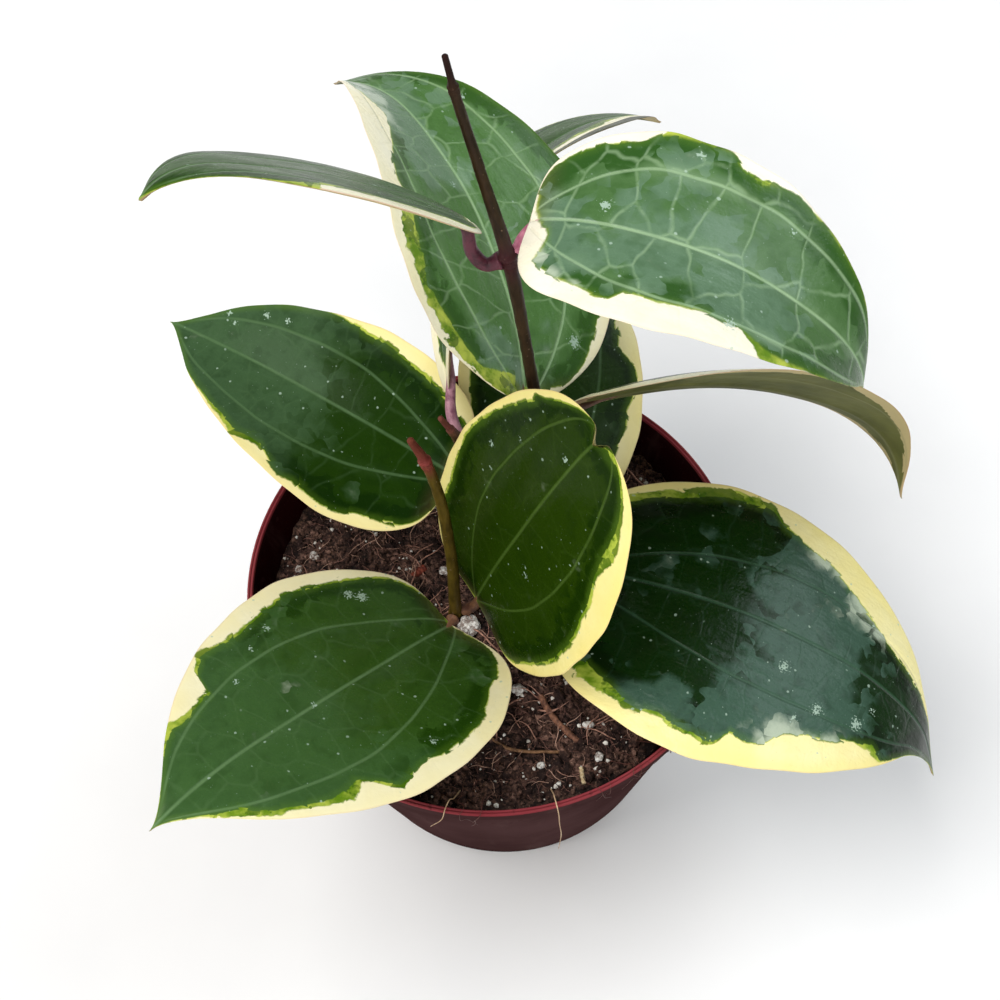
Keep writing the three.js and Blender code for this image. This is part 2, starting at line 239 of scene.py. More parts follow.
POT_HEIGHT = 84.0 * MM
POT_RIM_RADIUS = 60.0 * MM
POT_BASE_RADIUS = 43.0 * MM
POT_WALL = 1.3 * MM
POT_FLOOR = 1.5 * MM
POT_FOOT_CHAMFER = 1.2 * MM
RIM_BAND_HEIGHT = 4.0 * MM
RIM_OVERHANG = 0.5 * MM
RIM_BEAD = 0.3 * MM
DRAIN_HOLE_COUNT = 4
DRAIN_HOLE_RADIUS = 3.5 * MM
DRAIN_HOLE_CIRCLE = 29.0 * MM
DRAIN_HOLE_SEGMENTS = 40
POT_SEGMENTS = 180


def wall_radius(z):
    return POT_BASE_RADIUS + (POT_RIM_RADIUS - RIM_OVERHANG - POT_BASE_RADIUS) / POT_HEIGHT * z


def arc(centre, radius, start, end, steps):
    """Points of a rounded profile corner, its angles in degrees."""
    angles = np.radians(np.linspace(start, end, steps))
    return [(centre[0] + radius * math.cos(a), centre[1] + radius * math.sin(a)) for a in angles]


def closed_rings(count, sides):
    """Faces of a stack of rings that closes onto two points, which follow the rings."""
    first, last, top = count * sides, count * sides + 1, (count - 1) * sides
    faces = []
    for j in range(sides):
        k = (j + 1) % sides
        for low in range(0, top, sides):
            high = low + sides
            faces.append((low + j, low + k, high + k, high + j))
        faces.append((first, k, j))
        faces.append((last, top + j, top + k))
    return faces


def turned(name, profile, segments, material):
    """A closed turned shape. The profile starts and ends on the axis, the outside first."""
    inner = profile[1:-1]
    angles = [2 * math.pi * j / segments for j in range(segments)]
    vertices = [(r * math.cos(a), r * math.sin(a), z) for r, z in inner for a in angles]
    vertices += [(0, 0, profile[0][1]), (0, 0, profile[-1][1])]
    return new_piece(name, vertices, closed_rings(len(inner), segments), material)


def pot_profile():
    """Radius and height, from under the floor, up outside, over the rim and down inside."""
    rim, bead, foot = POT_RIM_RADIUS, RIM_BEAD, POT_FOOT_CHAMFER
    edge = POT_HEIGHT
    band_foot = POT_HEIGHT - RIM_BAND_HEIGHT
    outside = wall_radius(band_foot)
    inside = outside - POT_WALL
    rows = [(0, 0), (POT_BASE_RADIUS - 8 * MM, 0)]
    rows += arc((POT_BASE_RADIUS - foot, foot), foot, -90, -10, 7)
    rows += [(wall_radius(z), z) for z in np.linspace(4 * MM, band_foot - 1.2 * MM, 12)]
    rows += [(outside + 0.05 * MM, band_foot - 0.6 * MM), (rim - 0.75 * MM, band_foot - 0.2 * MM)]
    rows += arc((rim - 0.6 * MM, band_foot + 0.4 * MM), 0.4 * MM, -60, 0, 4)
    rows += [(rim - 0.12 * MM, band_foot + 2 * MM)]
    rows += arc((rim - bead, edge - bead), bead, 0, 150, 9)
    rows += arc((rim - 2.2 * bead, edge - bead), 0.6 * bead, 250, 290, 3)[::-1]
    rows += arc((rim - 3.4 * bead, edge - 1.3 * bead), bead, 30, 180, 8)
    rows += [(inside + 0.4 * MM, band_foot), (inside, band_foot - MM)]
    rows += [(wall_radius(z) - POT_WALL, z) for z in np.linspace(band_foot - 4 * MM, 4 * MM, 8)]
    rows += arc((POT_BASE_RADIUS - 3.3 * MM, POT_FLOOR + 2 * MM), 2 * MM, 0, -90, 6)
    rows += [(POT_BASE_RADIUS - 12 * MM, POT_FLOOR), (0, POT_FLOOR)]
    return rows


def pot_material():
    """Matt plastic with dust, dried water runs and specks of soil. Its rim's top is a paler red, painted
    light from above, and its inside darker, painted shade, where the distance from the axis is less than the
    outer wall's."""
    material, tree = new_finish("pot_plastic")
    place = object_place(tree)
    height = place.node("SeparateXYZ", {0: place}, output=2)
    flow = place.stretch(1, 1, 0.12).noise(0.09, 4, 0.6)
    grain = place.noise(1.6, 3)
    blotch = place.noise(0.03, 3, 0.55)
    radius = place.node("VectorMath", {0: place.stretch(1, 1, 0)}, output=1, operation="LENGTH")
    # Painted shade: the inside of the pot is darkened, though it is the same plastic as the outside.
    inside = (43.0 + 0.1964 * height - radius).ramp(0.3, 0.9)
    # Painted light: the rim's top, lit from above, is a paler red than the wall of the same plastic.
    rim_top = height.ramp(83.0, 83.4)
    wall = blotch.ramp(0.3, 0.7).mix(paint(59, 39, 39), paint(74, 52, 52))
    wall = inside.mix(wall, paint(34, 7, 9))
    rim = blotch.ramp(0.3, 0.7).mix(paint(122, 48, 54), paint(150, 70, 74))
    dust = flow.ramp(0.52, 0.72) * 0.16 + grain.ramp(0.62, 0.75) * 0.1
    splash = place.noise(0.35, 2).ramp(0.67, 0.72) * 0.45
    colour = rim_top.mix(wall, rim)
    colour = (dust * (1 - rim_top)).mix(colour, paint(122, 98, 94))
    colour = splash.mix(colour, paint(56, 34, 34))
    surface(
        material,
        {"Specular IOR Level": 0.0, "IOR": 1.38},
        Base_Color=colour,
        Roughness=0.4 + 0.2 * dust + 0.12 * blotch,
        Normal=relief(0.02 * grain + 0.05 * place.stretch(0.1, 0.1, 1).noise(0.5, 2)),
    )
    return material


def keep_shape(piece):
    """Turns what the modifiers make into the piece's own mesh and takes them off."""
    evaluated = piece.evaluated_get(bpy.context.evaluated_depsgraph_get())
    mesh = bpy.data.meshes.new_from_object(evaluated)
    piece.modifiers.clear()
    piece.data = mesh


def drill_holes(piece):
    """Cuts the drain holes through the pot's floor."""
    below, above = -MM, 3 * MM
    profile = [(0, below), (DRAIN_HOLE_RADIUS, below), (DRAIN_HOLE_RADIUS, above), (0, above)]
    for i in range(DRAIN_HOLE_COUNT):
        drill = turned("drill", profile, DRAIN_HOLE_SEGMENTS, piece.data.materials[0])
        turn = Matrix.Rotation((i + 0.5) * 2 * math.pi / DRAIN_HOLE_COUNT, 4, "Z")
        drill.data.transform(turn @ Matrix.Translation((DRAIN_HOLE_CIRCLE, 0, 0)))
        cut = piece.modifiers.new("drain_hole", "BOOLEAN")
        cut.operation = "DIFFERENCE"
        cut.solver = "EXACT"
        cut.object = drill
        keep_shape(piece)
        bpy.data.objects.remove(drill)


pot = turned("nursery_pot", pot_profile(), POT_SEGMENTS, pot_material())
drill_holes(pot)
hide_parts("pot")
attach(pot, "root")


# Soil: a dark, fibrous peat mix, one crumbly mass that fills the pot to a little below its
# rim. It lies higher at the front and round the stems. Its level is in millimetres.

SOIL_LEVEL = 73.4
SOIL_FRONT_RISE = 0.04
SOIL_RINGS = 120
SOIL_SEGMENTS = 260


def soil_height(x, y):
    """Height of the settled soil in millimetres, as the solid under it has it."""
    mound = 0.5 * math.exp(-((math.hypot(x, y) / 22) ** 2))
    lumps = 0.45 * math.sin(x / 4.3 + 0.8) * math.cos(y / 5.1) + 0.3 * math.sin(x / 2.9 + y / 3.7)
    return SOIL_LEVEL - SOIL_FRONT_RISE * y + mound + lumps


def crumbly_height(x, y):
    """The same height with clods, crumbs and grit, each kind by its width and its rise."""
    height = soil_height(x, y)
    for layer, width, rise in ((0, 5.0, 1.0), (9, 1.9, 1.3), (30, 0.8, 0.7)):
        height += rise * noise.noise(Vector((x, y, layer)) / width)
    return height - 0.5


def soil_material(name, dark, light, fleck):
    """Moist peat: red-brown crumbs and straw-coloured specks, with almost black patches that are the painted
    shade of hollows.
    """
    material, tree = new_finish(name)
    place = object_place(tree)
    clods = place.noise(0.16, 3, 0.6)
    crumbs = place.noise(0.9, 4, 0.65)
    specks = place.noise(2.6, 2)
    colour = crumbs.ramp(0.35, 0.68).mix(dark, light)
    # Painted shade: almost black where the clods noise is low, standing for the shade in hollows.
    colour = clods.ramp(0.62, 0.4).mix(colour, dark)
    colour = (specks.ramp(0.66, 0.74) * 0.6).mix(colour, fleck)
    surface(
        material,
        {"Specular IOR Level": 0.25},
        Base_Color=colour,
        Roughness=0.72 + 0.25 * crumbs,
        Normal=relief(0.5 * crumbs + 0.2 * specks),
    )
    return material


def soil_profile_rows():
    """Radius and height of the rings, from the axis below, round the wall, to the axis above."""
    inside = POT_WALL + 0.15 * MM
    bottom = POT_FLOOR + 0.3 * MM
    rows = [(0, bottom), (30 * MM, bottom), (POT_BASE_RADIUS - 3.5 * MM, 2.4 * MM)]
    rows += [(wall_radius(z * MM) - inside, z * MM) for z in (6, 25, 45, 60, 70)]
    top = wall_radius(SOIL_LEVEL * MM) - inside
    rows += [(top * i / SOIL_RINGS, SOIL_LEVEL * MM) for i in range(SOIL_RINGS, -1, -1)]
    return rows


peat = soil_material("peat", paint(22, 12, 10), paint(112, 82, 70), paint(178, 144, 122))
soil = turned("peat_soil", soil_profile_rows(), SOIL_SEGMENTS, peat)
for vertex in soil.data.vertices:
    if vertex.co.z > (SOIL_LEVEL - 0.1) * MM:
        vertex.co.z = crumbly_height(vertex.co.x / MM, vertex.co.y / MM) * MM
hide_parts("soil")
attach(soil, "root")


# Loose litter on the soil: peat crumbs, coir fibres and crushed perlite, thousands of small
# bits that lie where they fell. One Geometry Nodes tree scatters each kind over the soil.

LITTER_EDGE = 56.0
FIBRE_STEPS = {"fibre": 7, "short_fibre": 5}
FIBRE_SIDES = 4
CLUMP_SCALE = 110
TILT = 0.45

# density is in bits per square millimetre; size, lift and LITTER_EDGE, which the bits stay
# inside, are in millimetres; clumping goes from 0, evenly spread, to 1, only in patches.
LITTER = {
    "peat_crumbs": {
        "grain": "crumb", "density": 0.78, "size": (0.3, 1.1),
        "lift": 0.25, "clumping": 0.3, "seed": 3,
    },
    "peat_clods": {
        "grain": "crumb", "density": 0.1, "size": (0.9, 1.9),
        "lift": 0.2, "clumping": 0.6, "seed": 11,
    },
    "coir_fibres": {
        "grain": "short_fibre", "density": 0.36, "size": (0.6, 2.8),
        "lift": 0.6, "clumping": 0.5, "seed": 5,
    },
    "pale_fibres": {
        "grain": "fibre", "density": 0.08, "size": (0.8, 4.2),
        "lift": 0.7, "clumping": 0.6, "seed": 8,
    },
    "long_fibres": {
        "grain": "fibre", "density": 0.02, "size": (3.0, 8.0),
        "lift": 1.1, "clumping": 0.6, "seed": 21,
    },
    "perlite_grit": {
        "grain": "crumb", "density": 0.045, "size": (0.25, 0.8),
        "lift": 0.5, "clumping": 1.0, "seed": 14,
    },
}


def bark_like(name, dark, light, roughness=0.75, scale=1.0):
    """Woody bits: streaks along the grain between two browns."""
    material, tree = new_finish(name)
    place = object_place(tree)
    streaks = place.stretch(1, 1, 0.4).noise(1.4 * scale, 4, 0.6)
    surface(
        material,
        {"Specular IOR Level": 0.3, "Roughness": roughness},
        Base_Color=streaks.ramp(0.3, 0.7).mix(dark, light),
        Normal=relief(0.15 * streaks),
    )
    return material


def from_bmesh(name, shape, material, smooth):
    mesh = bpy.data.meshes.new(name)
    shape.to_mesh(mesh)
    shape.free()
    mesh.materials.append(material)
    mesh.polygons.foreach_set("use_smooth", [smooth] * len(mesh.polygons))
    return put_in_scene(name, mesh)


def crumb_shape(material):
    """A rough angular grain, two units across: a dented icosahedron."""
    bits = random.Random(4)
    golden = (1 + 5 ** 0.5) / 2
    shape = bmesh.new()
    corners = []
    for a in (-1, 1):
        for b in (-golden, golden):
            for corner in ((0, a, b), (a, b, 0), (b, 0, a)):
                reach = bits.uniform(0.75, 1.15)
                corners.append(shape.verts.new(Vector(corner).normalized() * reach))
    bmesh.ops.convex_hull(shape, input=corners)
    return from_bmesh("crumb", shape, material, smooth=False)


def fibre_shape(material, steps):
    """A thin bent strand two units long, pointed at both ends."""
    corners, faces, sides = [], [], FIBRE_SIDES
    for i in range(steps + 1):
        along = i / steps
        thickness = 0.024 * math.sin(math.pi * (0.06 + 0.88 * along)) + 0.007
        bend = 0.35 * math.sin(2.4 * along) + 0.12 * math.sin(7 * along)
        rise = 0.1 * math.sin(4 * along)
        for j in range(sides):
            a = 2 * math.pi * j / sides
            across = thickness * math.cos(a)
            corners.append((2 * along - 1, bend + across, thickness * math.sin(a) + rise))
    for low in range(0, steps * sides, sides):
        for j in range(sides):
            k = (j + 1) % sides
            faces.append((low + sides + j, low + sides + k, low + k, low + j))
    faces.append(tuple(range(sides)))
    faces.append(tuple(steps * sides + j for j in range(sides))[::-1])
    return new_piece("fibre", corners, faces, material)


def litter_tree(name, grain, material):
    """Scatters one grain over the mesh it is given. Sizes are in metres."""
    group = bpy.data.node_groups.new(name, "GeometryNodeTree")
    inputs = {"Geometry": "Geometry", "Density": "Float", "Smallest": "Float", "Largest": "Float",
              "Lift": "Float", "Clumping": "Float", "Seed": "Int"}
    for label, kind in inputs.items():
        group.interface.new_socket(label, in_out="INPUT", socket_type="NodeSocket" + kind)
    group.interface.new_socket("Geometry", in_out="OUTPUT", socket_type="NodeSocketGeometry")
    given = group.nodes.new("NodeGroupInput").outputs

    def add(kind, sockets, output=0, **settings):
        """Adds any node and returns one output: its settings first, then its sockets."""
        made = group.nodes.new(kind)
        for label, value in settings.items():
            setattr(made, label, value)
        for label, value in sockets.items():
            if isinstance(value, bpy.types.NodeSocket):
                group.links.new(value, made.inputs[label])
            else:
                made.inputs[label].default_value = value
        return made.outputs[output] if made.outputs else None

    # Patches with more bits and patches with fewer
    patches = add("ShaderNodeTexNoise", {"Scale": CLUMP_SCALE}, noise_dimensions="3D")
    fewest = add("ShaderNodeMath", {0: 1, 1: given["Clumping"]}, operation="SUBTRACT")
    most = add("ShaderNodeMath", {0: 1, 1: given["Clumping"]}, operation="ADD")
    limits = {"From Min": 0.45, "From Max": 0.55, "To Min": fewest, "To Max": most}
    share = add("ShaderNodeMapRange", {"Value": patches, **limits})
    density = add("ShaderNodeMath", {0: share, 1: given["Density"]}, operation="MULTIPLY")
    ground = {"Mesh": given["Geometry"], "Density": density, "Seed": given["Seed"]}
    points = add("GeometryNodeDistributePointsOnFaces", ground, "Points")
    lift = add("ShaderNodeCombineXYZ", {"Z": given["Lift"]})
    points = add("GeometryNodeSetPosition", {"Geometry": points, "Offset": lift})

    # Each bit its own turn and size, with far more small ones than large
    spin = {0: (-TILT, -0.4, 0), 1: (TILT, 0.4, 2 * math.pi)}
    turn = add("FunctionNodeRandomValue", spin, data_type="FLOAT_VECTOR")
    size = add("FunctionNodeRandomValue", {}, 1, data_type="FLOAT")
    size = add("ShaderNodeMath", {0: size, 1: 2.2}, operation="POWER")
    limits = {"To Min": given["Smallest"], "To Max": given["Largest"]}
    size = add("ShaderNodeMapRange", {"Value": size, **limits})
    source = add("GeometryNodeObjectInfo", {"Object": grain}, "Geometry", transform_space="ORIGINAL")
    bits = {"Points": points, "Instance": source, "Rotation": turn, "Scale": size}
    scattered_bits = add("GeometryNodeInstanceOnPoints", bits)
    real = add("GeometryNodeRealizeInstances", {0: scattered_bits})
    coated = add("GeometryNodeSetMaterial", {"Geometry": real, "Material": material})
    add("NodeGroupOutput", {"Geometry": coated})
    return group


def scattered(name, ground, grain, material, kind):
    """A litter piece on the soil's top, as a plain mesh."""
    piece = put_in_scene(name, ground)
    scatter = piece.modifiers.new("scatter", "NODES")
    scatter.node_group = litter_tree(name, grain, material)
    smallest, largest = kind["size"]
    settings = {
        "Density": kind["density"] / MM ** 2, "Smallest": smallest * MM, "Largest": largest * MM,
        "Lift": kind["lift"] * MM, "Clumping": kind["clumping"], "Seed": kind["seed"],
    }
    for socket in scatter.node_group.interface.items_tree:
        if socket.name in settings:
            scatter[socket.identifier] = settings[socket.name]
    keep_shape(piece)
    return piece


def soil_top(edge):
    """The soil's upper faces inside the given radius, to scatter litter on."""
    shape = bmesh.new()
    shape.from_mesh(soil.data)
    low = (SOIL_LEVEL - 5) * MM
    middles = [(face, face.calc_center_median()) for face in shape.faces]
    away = [face for face, middle in middles if middle.z < low or middle.xy.length > edge]
    bmesh.ops.delete(shape, geom=away, context="FACES")
    mesh = bpy.data.meshes.new("soil_top")
    shape.to_mesh(mesh)
    shape.free()
    return mesh


crumb_peat = soil_material("peat_crumb", paint(46, 29, 25), paint(142, 108, 94), paint(190, 158, 136))
clod_peat = soil_material("peat_clod", paint(34, 20, 17), paint(108, 78, 66), paint(160, 126, 106))
litter_finishes = {
    "peat_crumbs": (crumb_peat, "peat"),
    "peat_clods": (clod_peat, "peat"),
    "coir_fibres": (bark_like("coir", paint(84, 52, 46), paint(150, 108, 96)), "wood_bit"),
    "pale_fibres": (bark_like("pale_coir", paint(158, 118, 100), paint(206, 168, 148)), "pale_wood"),
    "long_fibres": (bark_like("long_coir", paint(118, 80, 68), paint(190, 144, 124)), "wood_bit"),
    "perlite_grit": (
        bark_like("perlite_grain", paint(190, 184, 174), paint(236, 233, 226), 0.9), "perlite",
    ),
}
for name, kind in LITTER.items():
    finish, slot = litter_finishes[name]
    if kind["grain"] == "crumb":
        grain = crumb_shape(finish)
    else:
        grain = fibre_shape(finish, FIBRE_STEPS[kind["grain"]])
    ground = soil_top((LITTER_EDGE - kind["size"][1]) * MM)
    litter = scattered(name, ground, grain, finish, kind)
    bpy.data.objects.remove(grain)
    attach(litter, "root")


# Perlite: white lumps of puffed volcanic glass with a popcorn surface, half sunk in the soil
# and stained by it on their lower side.

LUMP_BLISTERS = 9
LUMP_ROUNDNESS = 5

# x, y and radius of each lump, in millimetres
PERLITE_LUMPS = [
    (-7.2, -8.6, 3.4), (-4.3, 3, 1.7), (-11.5, 8, 2.0), (3.8, -26.4, 2.1), (19.5, -37, 1.7),
    (21, -45.5, 1.4), (7.3, -46, 1.3), (-45, 15.5, 1.6), (-49, 12.5, 1.4), (-53, 7, 1.3),
]


def perlite_material():
    material, tree = new_finish("perlite")
    place = object_place(tree)
    height = place.node("SeparateXYZ", {0: place}, output=2)
    pores = place.noise(1.7, 4, 0.7)
    stain = place.noise(0.8, 3, 0.65).ramp(0.47, 0.6) * 0.75 + height.ramp(75.2, 73.6) * 0.5
    colour = pores.ramp(0.3, 0.6).mix(paint(176, 168, 158), paint(240, 238, 233))
    colour = stain.mix(colour, paint(110, 84, 72))
    surface(material, {"Roughness": 0.85}, Base_Color=colour, Normal=relief(0.5 * pores))
    return material


def lump(name, x, y, radius, seed, material):
    """A lump puffed up into a cluster of blisters: the outside of a few overlapping balls."""
    bits = random.Random(seed)
    balls = [(Vector((0, 0, 0)), 0.62)]
    for _ in range(LUMP_BLISTERS):
        way = Vector((bits.gauss(0, 1), bits.gauss(0, 1), bits.gauss(0, 0.7))).normalized()
        balls.append((way * bits.uniform(0.35, 0.62), bits.uniform(0.3, 0.48)))
    shape = bmesh.new()
    bmesh.ops.create_icosphere(shape, subdivisions=LUMP_ROUNDNESS, radius=1)
    centre = Vector((x, y, soil_height(x, y) + 0.3 * radius))
    for vertex in shape.verts:
        direction = vertex.co.normalized()
        reach = 0
        for middle, size in balls:
            along = direction.dot(middle)
            inside = along * along - middle.length_squared + size * size
            if inside > 0:
                reach = max(reach, along + math.sqrt(inside))
        reach += 0.05 * noise.noise(direction * 9 + Vector((0, seed, 0)))
        flattened = Vector((direction.x, direction.y, 0.85 * direction.z))
        vertex.co = (centre + flattened * reach * radius) * MM
    return from_bmesh(name, shape, material, smooth=True)


white_perlite = perlite_material()
for i, (x, y, radius) in enumerate(PERLITE_LUMPS):
    piece = lump(f"perlite_lump_{i + 1}", x, y, radius, 3.7 * i, white_perlite)
    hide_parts(f"perlite_{i + 1}")
    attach(piece, "root")


# Bits of wood and the thick root on the soil: uneven round sticks with broken ends. Each
# lies along the soil through its points, which are given from above in millimetres.

TWIG_RINGS = 40
TWIG_SIDES = 14


def smooth_route(points, count):
    """Points along a smooth curve through the given ones."""
    points = np.array(points, float)
    gaps = np.linalg.norm(np.diff(points, axis=0), axis=1)
    stops = np.concatenate([[0], np.cumsum(np.sqrt(gaps))])
    slopes = np.gradient(points, stops, axis=0)
    at = np.linspace(0, stops[-1], count)
    span = np.clip(np.searchsorted(stops, at, side="right") - 1, 0, len(points) - 2)
    width = (stops[span + 1] - stops[span])[:, None]
    u = (at - stops[span])[:, None] / width
    return (
        (2 * u ** 3 - 3 * u ** 2 + 1) * points[span]
        + (u ** 3 - 2 * u ** 2 + u) * width * slopes[span]
        + (3 * u ** 2 - 2 * u ** 3) * points[span + 1]
        + (u ** 3 - u ** 2) * width * slopes[span + 1]
    )


def corner_vertices(piece):
    """Which vertex each corner of each face stands on."""
    corners = np.zeros(len(piece.data.loops), int)
    piece.data.loops.foreach_get("vertex_index", corners)
    return corners


def map_stem(piece, route, sides):
    """Gives a strand its own map: turns round it, and millimetres along it."""
    lengths = np.concatenate([[0], np.cumsum(np.linalg.norm(np.diff(route, axis=0), axis=1))])
    around = np.concatenate([np.tile(np.arange(sides) / sides, len(route)), [0, 0]])
    along = np.concatenate([np.repeat(lengths, sides), [0, lengths[-1]]])
    corners = corner_vertices(piece)
    wrapped = around[corners]
    for face in piece.data.polygons:
        turn = wrapped[face.loop_start:face.loop_start + face.loop_total]
        if turn.max() - turn.min() > 0.5:
            turn[turn < 0.5] += 1
    layer = piece.data.uv_layers.new(name="stem")
    layer.data.foreach_set("uv", np.stack([wrapped, along[corners]], -1).ravel())


def rod(name, points, thickness, count, sides, material, ends=(1.0, 1.0)):
    """A closed round strand of count rings along a route in millimetres. thickness gives the
    radius from how far along it is, from 0 to 1, and the angle round it. ends says how far
    the two tips stand out, in radii."""
    route = smooth_route(points, count)
    tangents = np.gradient(route, axis=0)
    tangents /= np.linalg.norm(tangents, axis=1)[:, None]
    side = np.cross(tangents[0], (0.3, 0.2, 1.0))
    rings = []
    for i in range(count):
        side = side - tangents[i] * side.dot(tangents[i])
        side = side / np.linalg.norm(side)
        up = np.cross(tangents[i], side)
        for j in range(sides):
            angle = 2 * math.pi * j / sides
            radius = thickness(i / (count - 1), angle)
            rings.append(route[i] + (side * math.cos(angle) + up * math.sin(angle)) * radius)
    first_tip = route[0] - tangents[0] * ends[0] * thickness(0, 0)
    last_tip = route[-1] + tangents[-1] * ends[1] * thickness(1, 0)
    vertices = np.array([*rings, first_tip, last_tip]) * MM
    piece = new_piece(name, vertices, closed_rings(count, sides), material)
    map_stem(piece, route, sides)
    return piece


LOOSE_BITS = {
    "surface_root": {
        "radius": 0.8, "points": [(8.8, -28.5), (11.6, -34.5), (16.5, -41)], "slot": "brown_root",
        "dark": (74, 46, 36), "light": (134, 92, 70),
    },
    "twig_front": {
        "radius": 0.42, "points": [(-4, -38), (1, -41.5), (12, -43)], "slot": "wood_bit",
        "dark": (88, 62, 42), "light": (146, 108, 76),
    },
    "twig_right": {
        "radius": 0.7, "points": [(31, -36), (31.5, -42)], "slot": "wood_bit",
        "dark": (62, 38, 30), "light": (104, 66, 50),
    },
    "pale_splinter": {
        "radius": 0.6, "points": [(16.6, -47.5), (17, -51.5)], "slot": "pale_wood",
        "dark": (176, 152, 112), "light": (222, 204, 166),
    },
    "bark_chip": {
        "radius": 1.0, "points": [(-20, 7), (-17, 9.5)], "slot": "wood_bit",
        "dark": (84, 34, 26), "light": (134, 64, 46),
    },
}


def knobbly(radius, seed):
    """A thickness that swells and narrows at random by up to a quarter."""
    def thickness(along, angle):
        place = Vector((along * 6, math.cos(angle), math.sin(angle) + seed))
        return radius * (0.92 + 0.28 * noise.noise(place * 1.3))
    return thickness


for seed, (name, bit) in enumerate(LOOSE_BITS.items()):
    radius = bit["radius"]
    route = [(x, y, soil_height(x, y) + 0.2 * radius + 0.3) for x, y in bit["points"]]
    finish = bark_like(name + "_bark", paint(*bit["dark"]), paint(*bit["light"]))
    uneven = knobbly(radius, 5 * seed)
    piece = rod(name + "_piece", route, uneven, TWIG_RINGS, TWIG_SIDES, finish, (0.3, 0.3))
    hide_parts(name)
    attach(piece, "root")


# Roots over the rim: hair-thin dry roots that grew out of the soil, over the rim and down the
# outside of the pot. Each point is a direction in degrees round the pot, counted from the right
# towards the back, then a distance from the axis and a height in millimetres.

RIM_ROOTS = {
    "rim_root_left": [
        (257, 52, 76.5), (256.5, 56, 82.3), (256, 57.5, 85.3), (255.5, 59.8, 85.5), (255, 61.2, 83),
        (252, 61.4, 76),
    ],
    "rim_root_front": [
        (280, 53, 76.5), (279.8, 56.2, 82.3), (279.6, 57.6, 85.3), (279.6, 59.8, 85.5),
        (279.7, 61.2, 83), (279.8, 61.3, 76), (280.2, 60.8, 66), (279.6, 60.4, 54.5),
    ],
}
RIM_ROOT_RADIUS = 0.17
ROOT_RINGS = 70
ROOT_SIDES = 8


def round_the_pot(stops):
    """x, y and z of stops given by direction in degrees, distance and height."""
    return [(r * math.cos(math.radians(a)), r * math.sin(math.radians(a)), z) for a, r, z in stops]


def root_thickness(along, angle):
    return RIM_ROOT_RADIUS * (1 - 0.45 * along)


dry_root = bark_like("dry_root", paint(150, 114, 84), paint(206, 178, 142), 0.6, 0.7)
for name, points in RIM_ROOTS.items():
    route = round_the_pot(points)
    piece = rod(name + "_strand", route, root_thickness, ROOT_RINGS, ROOT_SIDES, dry_root)
    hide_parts(name)
    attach(piece, "root")


# Hair roots: finer and darker, on the right of the front, straying down the wall. Each has its
# direction at the soil and at its end, the height of its end, and its radius. HAIR_OVER_RIM
# says how much of the turn between the two directions is done at each distance and height.

RIM_HAIRS = [
    (288, 294, 66, 0.09), (293, 289, 74, 0.07), (297, 304, 72, 0.1), (301, 296, 70, 0.07),
    (306, 312, 75, 0.09), (311, 305, 77, 0.07), (316, 318, 78, 0.09), (263, 260, 66, 0.1),
    (258, 262, 70, 0.09),
]
HAIR_OVER_RIM = [
    (0, 52, 75.5), (0.1, 56.5, 82), (0.16, 58.3, 84.6), (0.22, 60.2, 84.5), (0.35, 60.9, 82.5),
]
HAIR_DOWN_WALL = (0.55, 0.8, 1)
HAIR_RINGS = 60
HAIR_SIDES = 5


def joined(name, first, second):
    """Both meshes as one object."""
    with bpy.context.temp_override(active_object=first, selected_editable_objects=[first, second]):
        bpy.ops.object.join()
    first.name = name
    return first


def hair_route(start, end, low):
    """Over the rim, and down close to the wall with small random turns."""
    bits = random.Random(start)

    def direction(share):
        return start + (end - start) * share + bits.uniform(-0.9, 0.9)

    stops = [(direction(share), distance, height) for share, distance, height in HAIR_OVER_RIM]
    from_share, _, from_height = HAIR_OVER_RIM[-1]
    for share in HAIR_DOWN_WALL:
        towards = direction(share)
        fallen = (low - from_height) * (share - from_share) / (1 - from_share)
        height = from_height + fallen + bits.uniform(-1, 1)
        stops.append((towards, wall_radius(height * MM) / MM + 0.9, height))
    return round_the_pot(stops)


dark_hair = bark_like("dark_hair", paint(62, 34, 30), paint(112, 66, 56), 0.6, 0.7)
hairs = None
for start, end, low, radius in RIM_HAIRS:
    hair = rod(
        "hair", hair_route(start, end, low), lambda along, angle: radius * (1 - 0.5 * along),
        HAIR_RINGS, HAIR_SIDES, dark_hair,
    )
    hairs = joined("rim_hairs", hairs, hair) if hairs else hair
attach(hairs, "root")


# Vines: round woody stems, swollen at the nodes, where a raised ring and the scars of old
# leaves show. The tall one is dark purple-brown, the others olive, and all end in a dry tip.
# Each has its points from below the soil up, its radius at each, how far the ring at a point
# stands out, and a blush: its height, how far it spreads, and its colour.

VINE_RINGS = 420
VINE_SIDES = 24

